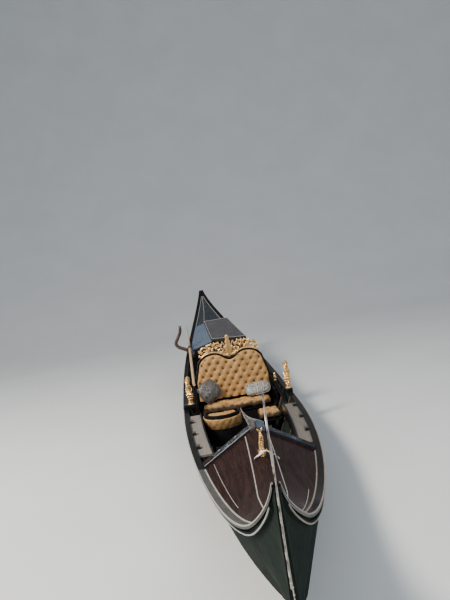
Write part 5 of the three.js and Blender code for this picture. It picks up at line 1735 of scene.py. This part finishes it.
def chair_pad_piece():
    """Buttoned padding on the outside of the armchair's barrel."""
    (low, high), (first, last), thick = (0.298, 0.425), (0.1, 0.9), 0.014
    columns, rows = 120, 30
    bm = bmesh.new()
    for puffed in (True, False):
        grid = []
        for i in range(columns + 1):
            s = first + (last - first) * i / columns
            spot, out = barrel(0.001, s)
            row = []
            for j in range(rows + 1):
                z = low + (high - low) * j / rows
                height, near = tuft((s - 0.5) * 1.05, z - (low + high) / 2, 0.075, (high - low) / 2)
                edge = min(i, columns - i) / 5, min(j, rows - j) / 4
                rim = math.sqrt(max(0.0, 1 - (1 - min(1.0, *edge)) ** 2))
                puff = thick * rim * (0.55 + 0.45 * height)
                puff -= thick * 0.3 * math.exp(-((near / 0.01) ** 2)) * rim
                at = spot + out * (puff if puffed else 0.0)
                row.append(bm.verts.new((at.x, at.y, z)))
            grid.append(row)
        skin_grid(bm, grid)
    bmesh.ops.remove_doubles(bm, verts=bm.verts, dist=1e-5)
    piece = build(bm, "armchair_back_outside", LOOKS["gold_chair"], smooth=80)
    wrinkle(piece, 0.0025, 26.0)
    mark_hollows(piece, 110)
    dress(piece, "gold_brocade")


def chair_squab_piece():
    """The armchair's seat cushion, buttoned on top."""
    inset = CHAIR_WALL + 0.003
    loop = [barrel(inset, i / 60)[0] for i in range(61)]
    loop += [Vector((CHAIR_X - CHAIR_DEEP / 2, CHAIR_Y + (CHAIR_WIDE / 2 - inset) * (1 - i / 8), 0))
             for i in range(1, 16)]
    middle = Vector((CHAIR_X - 0.02, CHAIR_Y, 0))
    profile = [(0.97, 0.162), (0.995, 0.175), (1.0, 0.22), (1.0, 0.27), (1.0, 0.33), (0.99, 0.37),
               (0.965, 0.395), (0.92, 0.406)]
    profile += [(f / 14, 0.408 + 0.03 * (1 - (f / 14) ** 2)) for f in range(12, 0, -1)]
    rings = []
    for scale, z in profile:
        ring = []
        for p in loop:
            at = middle + (p - middle) * scale
            height, near = tuft(at.y - CHAIR_Y, at.x - CHAIR_X, 0.1, 0.07)
            sink = 0.012 * (1 - height) + 0.008 * math.exp(-((near / 0.012) ** 2))
            top = max(0.0, min(1.0, (z - 0.385) / 0.02)) * min(1.0, (1 - scale) * 8 + 0.2)
            ring.append((at.x, at.y, z - sink * top))
        rings.append(ring)
    bm = bmesh.new()
    loft_into(bm, rings)
    piece = build(bm, "armchair_squab", LOOKS["gold"], smooth=80)
    wrinkle(piece, 0.006, 15.0)
    refine(piece)
    mark_hollows(piece, 140)
    dress(piece, "gold_brocade", "armchair_cushion")


def armchair_pieces():
    cad_piece("armchair_frame", "armchair_shell", "lacquer", "black_lacquer", 0.004)
    rows = []
    for i in range(41):
        spot = barrel(CHAIR_WALL / 2, i / 40)[0]
        dip = 0.012 * math.cos((i / 40 - 0.5) * 2 * math.pi)
        rows.append((spot.x, spot.y, CHAIR_RIM - 0.006 + dip * 0.4, 0.016, 0.011))
    tube_piece("armchair_rim", rows, 120, 12, "lacquer", "black_lacquer", across=(0, 0, 1))
    chair_pad_piece()
    chair_squab_piece()


def stool_pieces():
    cad_piece("stool_frame", "stool_stand", "lacquer", "black_lacquer", 0.003)

    def buttons(x, y):
        height, near = tuft(y - STOOL_Y, x - STOOL_X, 0.105, 0.075)
        return -0.014 * (1 - height) - 0.008 * math.exp(-((near / 0.012) ** 2))

    pad_piece("stool_pad", (STOOL_X - STOOL_HALF_X + 0.006, STOOL_Y - STOOL_HALF_Y + 0.006, 0.171),
              (STOOL_X + STOOL_HALF_X - 0.006, STOOL_Y + STOOL_HALF_Y - 0.006, 0.276), 0.045,
              "stool_cushion", "gold_stool", buttons, 0.01, 0.007,
              ((0.012, 12.0, 3.0), (0.005, 28.0, 7.0)))


# Figures and ironwork
def figure_y(side):
    return cap_inner(FIGURE_X, side) + FIGURE_SHIFT[side]


def sea_horse_piece(name, node, side):
    """A turned-looking brass sea horse: ridged body, mane, curled tail and an oval foot."""
    x, y = FIGURE_X, figure_y(side)
    z = base_of(node)
    bm = bmesh.new()
    lathe_into(bm, [(0.037, 0), (0.039, 0.006), (0.037, 0.014), (0.028, 0.02), (0.03, 0.028),
                    (0.022, 0.036)], (x, y, z), 24)
    lean = -SIGN[side]
    body = [(0.0, 0.0, 0.03, 0.026, 0.026), (0.0, 0.003, 0.075, 0.034, 0.033),
            (0.0, 0.004, 0.13, 0.043, 0.041), (-0.004, 0.0, 0.18, 0.034, 0.032),
            (-0.004, -0.004, 0.22, 0.037, 0.034), (0.0, -0.004, 0.262, 0.025, 0.024),
            (0.004, 0.0, 0.3, 0.032, 0.031), (0.006, 0.002, 0.34, 0.026, 0.027),
            (0.0, 0.002, 0.366, 0.01, 0.01)]
    rows = [(x + a, y + b * lean, z + c, d, e) for a, b, c, d, e in body]
    ridged_into(bm, rows, 150, 18, 0.15, 3, 0.2, 5.0)
    snout = [(x + 0.012, y, z + 0.326, 0.013, 0.012), (x + 0.026, y, z + 0.316, 0.01, 0.01),
             (x + 0.037, y, z + 0.303, 0.008, 0.008), (x + 0.041, y, z + 0.296, 0.009, 0.006)]
    tube_into(bm, snout, 12, 10)
    for k in range(7):
        t = k / 6
        root = (x - 0.006 - 0.014 * math.sin(t * 3), y, z + 0.34 - 0.15 * t)
        tip = (root[0] - 0.022 - 0.006 * math.sin(t * 6), y + 0.004 * lean * (-1) ** k,
               root[2] + 0.014)
        half_way = [(a + b) / 2 for a, b in zip(root, tip)]
        tube_into(bm, [(*root, 0.006, 0.009), (*half_way, 0.004, 0.008), (*tip, 0.0015, 0.003)],
                  6, 8)
    curl = []
    for k in range(20):
        t = k / 19
        a = -0.6 + t * 5.6
        r = 0.026 * (1 - t * 0.72)
        curl.append((x + 0.01 + math.cos(a) * r, y - 0.006 * lean, z + 0.066 + math.sin(a) * r,
                     0.008 * (1 - 0.6 * t), 0.009 * (1 - 0.5 * t)))
    tube_into(bm, curl, 50, 8)
    for hand in (-1, 1):
        tube_into(bm, [(x + 0.008, y + hand * 0.022, z + 0.16, 0.008, 0.006),
                       (x - 0.006, y + hand * 0.034, z + 0.185, 0.009, 0.004),
                       (x - 0.02, y + hand * 0.036, z + 0.215, 0.003, 0.002)], 12, 8)
    piece = build(bm, name, LOOKS["gilt"])
    carve_smooth(piece, 0.003, 1)
    mark_hollows(piece, 240)
    dress(piece, "gilt_brass", node)


def base_of(node):
    """The height at which a CAD node stands."""
    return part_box(node)[0][2]


def figure_block_piece(side):
    node = f"figure_block_{side}"
    cad_piece(node, f"{node}_body", "lacquer", "black_lacquer", 0.006, angle=40)
    bm = bmesh.new()
    lathe_into(bm, [(0.042, 0), (0.0435, 0.003), (0.042, 0.006), (0.038, 0.008)],
               (FIGURE_X, figure_y(side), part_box(node)[1][2] - 0.001), 28)
    dress(build(bm, f"{node}_plinth", LOOKS["edging"]), "grey_board")


def bow_ornament_piece():
    """A slender gilt dolphin that stands on its head on the ridge board."""
    low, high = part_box("bow_ornament")
    x, y = ORNAMENT_X, middle_y(ORNAMENT_X)
    z, tall = low[2], high[2] - low[2]
    bm = bmesh.new()
    body = [(0.0, -0.004, 0.02, 0.024, 0.022), (0.004, -0.005, 0.1, 0.026, 0.022),
            (0.006, -0.003, 0.2, 0.02, 0.018), (-0.004, -0.006, 0.34, 0.019, 0.019),
            (-0.006, -0.003, 0.46, 0.023, 0.022), (0.004, 0.0, 0.58, 0.016, 0.016),
            (0.008, 0.002, 0.7, 0.014, 0.014), (0.0, 0.001, 0.8, 0.011, 0.011),
            (-0.004, 0.0, 0.86, 0.007, 0.007)]
    rows = [(x + a, y + b, z + c * tall, d, e) for a, b, c, d, e in body]
    ridged_into(bm, rows, 120, 16, 0.09, 2, 0.16, 7)
    for hand in (-1, 1):
        tube_into(bm, [(x, y, z + 0.84 * tall, 0.006, 0.005),
                       (x, y + hand * 0.012, z + 0.91 * tall, 0.008, 0.004),
                       (x, y + hand * 0.021, z + 0.985 * tall, 0.002, 0.002)], 10, 8)
        tube_into(bm, [(x, y + hand * 0.018, z + 0.13 * tall, 0.008, 0.006),
                       (x, y + hand * 0.031, z + 0.2 * tall, 0.006, 0.004),
                       (x, y + hand * 0.033, z + 0.27 * tall, 0.002, 0.002)], 10, 8)
    piece = build(bm, "gilt_dolphin", LOOKS["gilt"])
    carve_smooth(piece, 0.0024, 1)
    mark_hollows(piece, 280)
    dress(piece, "gilt_brass", "bow_ornament")


def ribbon_piece():
    """A pale ribbon tied round the ornament's foot, with two short ends on the deck."""
    x, y = ORNAMENT_X, middle_y(ORNAMENT_X)
    base = base_of("bow_ornament")
    half = 0.022
    path = [(x + 0.02, y + 0.118, ridge_z(x) - 0.035), (x + 0.016, y + 0.1, ridge_z(x) - 0.012),
            (x + 0.024, y + 0.06, ridge_z(x) + 0.022), (x + 0.036, y + 0.024, base + 0.055),
            (x + 0.038, y - 0.014, base + 0.05), (x + 0.026, y - 0.04, ridge_z(x) + 0.022),
            (x + 0.012, y - 0.058, ridge_z(x) + 0.008), (x + 0.006, y - 0.075, ridge_z(x) - 0.008)]
    bm = bmesh.new()
    rows = []
    steps, across = 90, 6
    for i in range(steps + 1):
        t = i / steps
        at = spline(path, t)
        ahead = (spline(path, min(1, t + 0.01)) - spline(path, max(0, t - 0.01))).normalized()
        gathered = 1 - 0.55 * math.exp(-(((t - 0.45) / 0.1) ** 2))
        lean = Vector((1, 0, 0.35 * math.sin(t * 9)))
        wide = (lean - ahead * lean.dot(ahead)).normalized()
        up = ahead.cross(wide)
        row = []
        for k in range(across + 1):
            u = -1 + 2 * k / across
            ripple = 0.004 * math.sin(u * 5 + t * 22) * (1.4 - gathered)
            row.append(bm.verts.new(at + wide * half * u * gathered + up * ripple))
        rows.append(row)
    skin_grid(bm, rows)
    area = sum(f.calc_area() for f in bm.faces)
    piece = build(bm, "tied_ribbon", LOOKS["ribbon"], smooth=80)
    thick = piece.modifiers.new("thickness", "SOLIDIFY")
    thick.thickness, thick.offset = 0.0008, 0
    applied(piece)
    piece.data.shade_smooth()
    dress(piece, "silver_cloth")


def horn_piece():
    """The steel horn that stands on the ridge board before the beams, creased down its face; its
    port half is blue-black, a painted dark reflection.
    """
    bm = bevel_edges(merged("bow_horn"), 0.006, segments=3)
    crease, front = middle_y(HORN_X) + 0.012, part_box("bow_horn")[1][0]
    bmesh.ops.bisect_plane(bm, geom=bm.verts[:] + bm.edges[:] + bm.faces[:],
                           plane_co=(0, crease, 0), plane_no=(0, 1, 0), dist=1e-5)
    for vert in bm.verts:
        if abs(vert.co.y - crease) < 1e-4 and vert.co.x > front - 0.001:
            vert.co.x += 0.009
    piece = build(bm, "steel_horn", LOOKS["steel"], smooth=20)
    # Painted dark reflection: the face's port half, beyond the crease, takes the blue-black finish.
    piece.data.materials.append(LOOKS["sky_varnish"])
    for face in piece.data.polygons:
        if face.normal.x > 0.7 and face.center.y > crease:
            face.material_index = 1
    mark_hollows(piece, 40)
    dress(piece, "polished_steel", "bow_horn")


def iron_pieces():
    for node, name in (("ferro_bow", "bow_iron"), ("ferro_stern", "stern_strap")):
        bm = merged(node)
        for vert in bm.verts:
            middle = POST_SKEW * min(BOW_X - vert.co.x, vert.co.x - STERN_X)
            vert.co.y = middle + (vert.co.y - middle) * 0.7
        piece = build(bevel_edges(bm, 0.0015), name, LOOKS["iron"], smooth=40)
        mark_hollows(piece, 20)
        dress(piece, "polished_steel", node)


def strap_nails():
    heads = []
    turn = math.atan(POST_SKEW)
    for sign in (-1, 1):
        for i in range(NAIL_COUNT):
            x = NAIL_X + i * NAIL_STEP
            if keel_z(x) > NAIL_TOP:
                break
            y = POST_SKEW * (BOW_X - x)
            heads.append(((x + 0.004, y + sign * 0.0034, keel_z(x) - 0.004),
                          (math.sin(turn) * -sign, sign, 0)))
    dress(round_heads("iron_nails", heads, 0.004, 0.0025, LOOKS["steel"]), "polished_steel")


def forcola_pieces():
    piece = build(merged("forcola"), "rowlock", LOOKS["walnut"])
    carve_smooth(piece, 0.004, 10)
    refine(piece)
    dress(piece, "walnut", "forcola")
    cad_piece("forcola_block", "rowlock_socket", "inside", "black_lacquer", 0.004)


def oar_piece():
    run = Vector(OAR_RUN)
    rows = [(*(Vector(OAR_HANDLE) + run * d), wide, high) for d, wide, high in OAR_SECTIONS]
    tube_piece("oar_loom_and_blade", rows, 120, 20, "ash", "pale_wood", "oar", smooth=60)
    start = Vector(OAR_HANDLE) + run * 2.2
    rows = [(*(start + run * (i * 0.03)), 0.0232, 0.0232) for i in range(8)]
    tube_piece("oar_leather", rows, 24, 20, "inside", "pale_wood")


def side_board_piece(side, span):
    """A grey board beside the well, notched along its outer edge for the ribs."""
    sign = SIGN[side]
    corners = (-NOTCH_HALF - 0.0001, -NOTCH_HALF, NOTCH_HALF, NOTCH_HALF + 0.0001)
    xs = sorted(set(stations(*span, 40) + [n + d for n in NOTCHES for d in corners]))
    rings = []
    for x in xs:
        outer = cap_inner(x, side) - sign * GAP
        inner = outer - sign * SIDE_BOARD_WIDE
        if any(abs(x - n) <= NOTCH_HALF + 0.00005 for n in NOTCHES):
            outer -= sign * 0.042
        top = sheer_z(x) - 0.02
        rings.append([(x, inner, top - 0.022), (x, outer, top - 0.022), (x, outer, top),
                      (x, inner, top)])
    # The port side board takes the darker copy of the grey board, as painted shade.
    loft_piece(f"grey_side_board_{side}", rings, "board" if side == "starboard" else "board_port",
               "grey_board", f"side_board_{side}", bevel=0.003, angle=40)
    bm = bmesh.new()
    for n in NOTCHES:
        y, top = cap_inner(n, side) - sign * 0.002, sheer_z(n) + 0.01
        reach = y - sign * 0.039
        box_into(bm, (n - 0.034, min(y, reach), top - 0.09), (n + 0.034, max(y, reach), top))
    dress(build(bevel_edges(bm, 0.002), f"rib_heads_{side}", LOOKS["inside"]), "black_lacquer")
    heads = []
    x = span[0] + 0.06
    while x < span[1] - 0.04:
        for reach in SCREW_ROWS:
            y = cap_inner(x, side) - sign * reach
            heads.append(((x, y, sheer_z(x) - 0.0195), (0, 0, 1)))
        x += SCREW_STEP
    dress(round_heads(f"board_screws_{side}", heads, 0.0045, 0.0015, LOOKS["steel"]),
          "polished_steel")


# The studio
def waterline():
    """The hull's outline at the floor's height, as a loop of (x, y)."""
    afloat = [x for x in stations(-5.2, 5.1, 600) if keel_z(x) < -0.002]
    low, high = afloat[0], afloat[-1]
    xs = [low + (high - low) * i / WATERLINE_STEPS for i in range(WATERLINE_STEPS + 1)]
    port = [(x, outer_y(x, 0, "port") - 0.006) for x in xs]
    starboard = [(x, outer_y(x, 0, "starboard") + 0.006) for x in xs]
    return port + starboard[::-1]


def ground():
    """The studio floor: it starts at the waterline and rises to a cove far out."""
    bm = bmesh.new()
    hole = waterline()
    count = len(hole)
    profile = [(radius, 0.0) for radius in (*FLAT_RINGS, COVE_FROM)]
    for i in range(1, COVE_STEPS + 1):
        turn = math.pi / 2 * i / COVE_STEPS
        profile.append((COVE_FROM + COVE_RADIUS * math.sin(turn), COVE_RADIUS * (1 - math.cos(turn))))
    rings = [[bm.verts.new((x, y, 0)) for x, y in hole]]
    for radius, z in profile:
        ring = []
        for x, y in hole:
            out = Vector((x / 5.2, (y - STUDIO_Y) / 0.75, 0)).normalized()
            ring.append(bm.verts.new((out.x * radius, STUDIO_Y + out.y * radius, z)))
        rings.append(ring)
    for a, b in zip(rings, rings[1:]):
        for i in range(count):
            bm.faces.new((a[i], a[(i + 1) % count], b[(i + 1) % count], b[i]))
    build(bm, "studio_floor", LOOKS["floor"], smooth=80)


def studio(setting):
    ground()
    for name, spot, aim, size, power, share, tone in LAMPS:
        lamp = bpy.data.lights.new(name, "AREA")
        lamp.energy, lamp.size, lamp.color = getattr(setting, power) * share, size, tone
        held = bpy.data.objects.new(name, lamp)
        held.location = spot
        held.rotation_euler = (Vector(aim) - Vector(spot)).to_track_quat("-Z", "Y").to_euler()
        bpy.context.scene.collection.objects.link(held)
    world = bpy.data.worlds.new("soft_sky")
    world.use_nodes = True
    back = world.node_tree.nodes["Background"]
    back.inputs["Color"].default_value = (0.8, 0.88, 1.0, 1.0)
    back.inputs["Strength"].default_value = setting.sky
    bpy.context.scene.world = world


def camera():
    data = bpy.data.cameras.new("camera")
    data.lens, data.sensor_width = CAMERA_LENS, 36.0
    data.clip_start, data.clip_end = 0.05, 300.0
    eye = bpy.data.objects.new("camera", data)
    turn = Matrix(CAMERA_AXES).transposed().to_4x4()
    eye.matrix_world = Matrix.Translation(CAMERA_AT) @ turn
    bpy.context.scene.collection.objects.link(eye)
    bpy.context.scene.camera = eye


def length_setting(name, text, value, low, high):
    return bpy.props.FloatProperty(name=name, description=text, default=value, min=low, max=high,
                                   unit="LENGTH", subtype="DISTANCE")


def colour_setting(name, text, value):
    return bpy.props.FloatVectorProperty(name=name, description=text, default=value, size=3,
                                         min=0, max=1, subtype="COLOR")


# Settings, one group for each part of the boat
class TrimSettings(bpy.types.PropertyGroup):
    edging_wide: length_setting(
        "Edging width", "Width of the pale strip along each gunwale", 0.008, 0.004, 0.03)
    edging_high: length_setting(
        "Edging height", "How far the strip reaches down the gunwale's side", 0.009, 0.004, 0.02)
    varnish: colour_setting(
        "Deck varnish", "Colour of the bow deck under its varnish", (0.026, 0.012, 0.01))


class SeatSettings(bpy.types.PropertyGroup):
    gold: colour_setting(
        "Brocade", "Ground colour of the seat's brocade", (0.4, 0.215, 0.075))
    silver: colour_setting(
        "Pillows", "Ground colour of the two pillows", (0.13, 0.12, 0.112))
    button_gap: length_setting(
        "Button spacing", "Distance between buttons in one row of the padded back", 0.118, 0.06, 0.25)
    row_gap: length_setting(
        "Row spacing", "Height between rows of buttons on the padded back", 0.083, 0.05, 0.2)


class StudioSettings(bpy.types.PropertyGroup):
    key_power: bpy.props.FloatProperty(
        name="Key light", description="Power of the high light on the starboard bow",
        default=2600.0, min=0, max=20000, unit="POWER")
    fill_power: bpy.props.FloatProperty(
        name="Fill light", description="Power of the soft light from ahead",
        default=500.0, min=0, max=20000, unit="POWER")
    sky: bpy.props.FloatProperty(
        name="Sky", description="Strength of the even light from above", default=0.6, min=0, max=5)


# Operators: one for each piece or group of like pieces
class Step(bpy.types.Operator):
    """Makes one part of the boat"""

    bl_idname = "gondola.step"
    bl_label = "Step"
    bl_options = {"REGISTER", "UNDO"}

    def execute(self, context):
        self.make(context.scene)
        return {"FINISHED"}

    def make(self, scene):
        raise NotImplementedError


class MakeLooks(Step):
    """Makes every finish that the boat's parts share"""

    bl_idname = "gondola.looks"
    bl_label = "Finishes"

    def make(self, scene):
        seat = scene.gondola_seat
        make_looks(tuple(seat.gold), tuple(seat.silver), tuple(scene.gondola_trim.varnish))


class MakeShell(Step):
    """Planks the hull, and adds its posts, gunwales and rubbing strakes"""

    bl_idname = "gondola.shell"
    bl_label = "Hull"

    def make(self, scene):
        bottom_piece()
        post_pieces()
        for side in SIDES:
            planking_piece(side)
            cap_piece(side, scene.gondola_trim)
            rail_piece(side)
            joint_bead(side)


class MakeInside(Step):
    """Lays the floors and shows the ribs and bulkheads inside the hull"""

    bl_idname = "gondola.inside"
    bl_label = "Floors and ribs"

    def make(self, scene):
        frame_pieces()
        board_floor("well_floor_boards", "floorboards", (-0.64, 2.3), -0.08, 0.034, 8)
        board_floor("aft_floor_boards", "aft_floor", (-2.15, -0.662), 0.1, 0.0224, 8)
        coaming("starboard", (0.5, 2.12))
        coaming("port", (0.66, 2.28))


class MakeBowDeck(Step):
    """Makes the gabled bow deck with its ridge board, mouldings and carved beams"""

    bl_idname = "gondola.bow_deck"
    bl_label = "Bow deck"

    def make(self, scene):
        for side in SIDES:
            bow_deck_piece(side)
            span = (2.6, 3.75) if side == "starboard" else (3.6, 4.4)
            deck_bead(f"deck_bead_outer_{side}", side, span, 0.2, 0.003)
            deck_bead(f"deck_bead_inner_{side}", side, (2.56, 4.6), 0.985, 0.006)
            beam_piece(side)
            beam_end(side)
            beam_edge(side, BEAM_AFT + 0.005, f"beam_aft_line_{side}")
            beam_edge(side, BEAM_AFT + BEAM_LONG - 0.005, f"beam_fore_line_{side}")
        ridge_piece()


class MakeSternDeck(Step):
    """Makes the stern deck with its carved tip and the mat that the rower stands on"""

    bl_idname = "gondola.stern_deck"
    bl_label = "Stern deck"

    def make(self, scene):
        for side in SIDES:
            stern_panel_piece(side)
        stern_plate_piece()
        mat_piece()


class MakeSeat(Step):
    """Makes the passengers' seat with its buttoned back, carved crest, squab and pillows"""

    bl_idname = "gondola.seat"
    bl_label = "Seat"

    def make(self, scene):
        seat = scene.gondola_seat
        seat_frame_piece()
        arm_finial(SEAT_Y + 0.566)
        back_rim_piece()
        back_pad_piece(seat)
        crest_piece()
        seat_cushion_piece(seat)
        pillow_piece("pillow_dark", "pillow_starboard", (0.3, 0.296, 0.12), -0.19, -0.38, 0.2,
                     0.5, "silver", 1.7)
        pillow_piece("pillow_light", "pillow_port", (0.356, 0.206, 0.1), 0.485, -0.8, -0.2,
                     0.1, "silver_light", 6.1)


class MakeFurniture(Step):
    """Makes the loose armchair and the stool"""

    bl_idname = "gondola.furniture"
    bl_label = "Armchair and stool"

    def make(self, scene):
        armchair_pieces()
        stool_pieces()


class MakeFigures(Step):
    """Makes the brass sea horses, the gilt dolphin with its ribbon, and the steel horn"""

    bl_idname = "gondola.figures"
    bl_label = "Figures"

    def make(self, scene):
        for side in SIDES:
            sea_horse_piece(f"sea_horse_{side}", f"brass_figure_{side}", side)
            figure_block_piece(side)
        bow_ornament_piece()
        ribbon_piece()
        horn_piece()


class MakeIrons(Step):
    """Makes the bow iron, the stern strap and their nails"""

    bl_idname = "gondola.irons"
    bl_label = "Irons"

    def make(self, scene):
        iron_pieces()
        strap_nails()


class MakeRowing(Step):
    """Makes the rowlock, the oar and the side boards"""

    bl_idname = "gondola.rowing"
    bl_label = "Rowlock, oar and side boards"

    def make(self, scene):
        forcola_pieces()
        oar_piece()
        side_board_piece("starboard", (0.53, 2.07))
        side_board_piece("port", (0.7, 2.23))


class MakeStudio(Step):
    """Sets the floor, the lights and the camera"""

    bl_idname = "gondola.studio"
    bl_label = "Studio"

    def make(self, scene):
        studio(scene.gondola_studio)
        camera()


STEPS = (MakeLooks, MakeShell, MakeInside, MakeBowDeck, MakeSternDeck, MakeSeat, MakeFurniture,
         MakeFigures, MakeIrons, MakeRowing, MakeStudio)
SETTINGS = {
    "gondola_trim": TrimSettings,
    "gondola_seat": SeatSettings,
    "gondola_studio": StudioSettings,
}


class GondolaPanel(bpy.types.Panel):
    """Lists the boat's settings and the steps that make it"""

    bl_idname = "VIEW3D_PT_gondola"
    bl_label = "Gondola"
    bl_space_type = "VIEW_3D"
    bl_region_type = "UI"
    bl_category = "Gondola"

    def draw(self, context):
        for name, group in SETTINGS.items():
            box = self.layout.box()
            for prop in group.__annotations__:
                box.prop(getattr(context.scene, name), prop)
        for step in STEPS:
            self.layout.operator(step.bl_idname)


def register():
    for group in SETTINGS.values():
        bpy.utils.register_class(group)
    for name, group in SETTINGS.items():
        setattr(bpy.types.Scene, name, bpy.props.PointerProperty(type=group))
    for step in STEPS:
        bpy.utils.register_class(step)
    bpy.utils.register_class(GondolaPanel)


def unregister():
    bpy.utils.unregister_class(GondolaPanel)
    for step in reversed(STEPS):
        bpy.utils.unregister_class(step)
    for name, group in SETTINGS.items():
        delattr(bpy.types.Scene, name)
        bpy.utils.unregister_class(group)


def main():
    register()
    for step in STEPS:
        family, name = step.bl_idname.split(".")
        getattr(getattr(bpy.ops, family), name)()


if __name__ == "__main__":
    main()
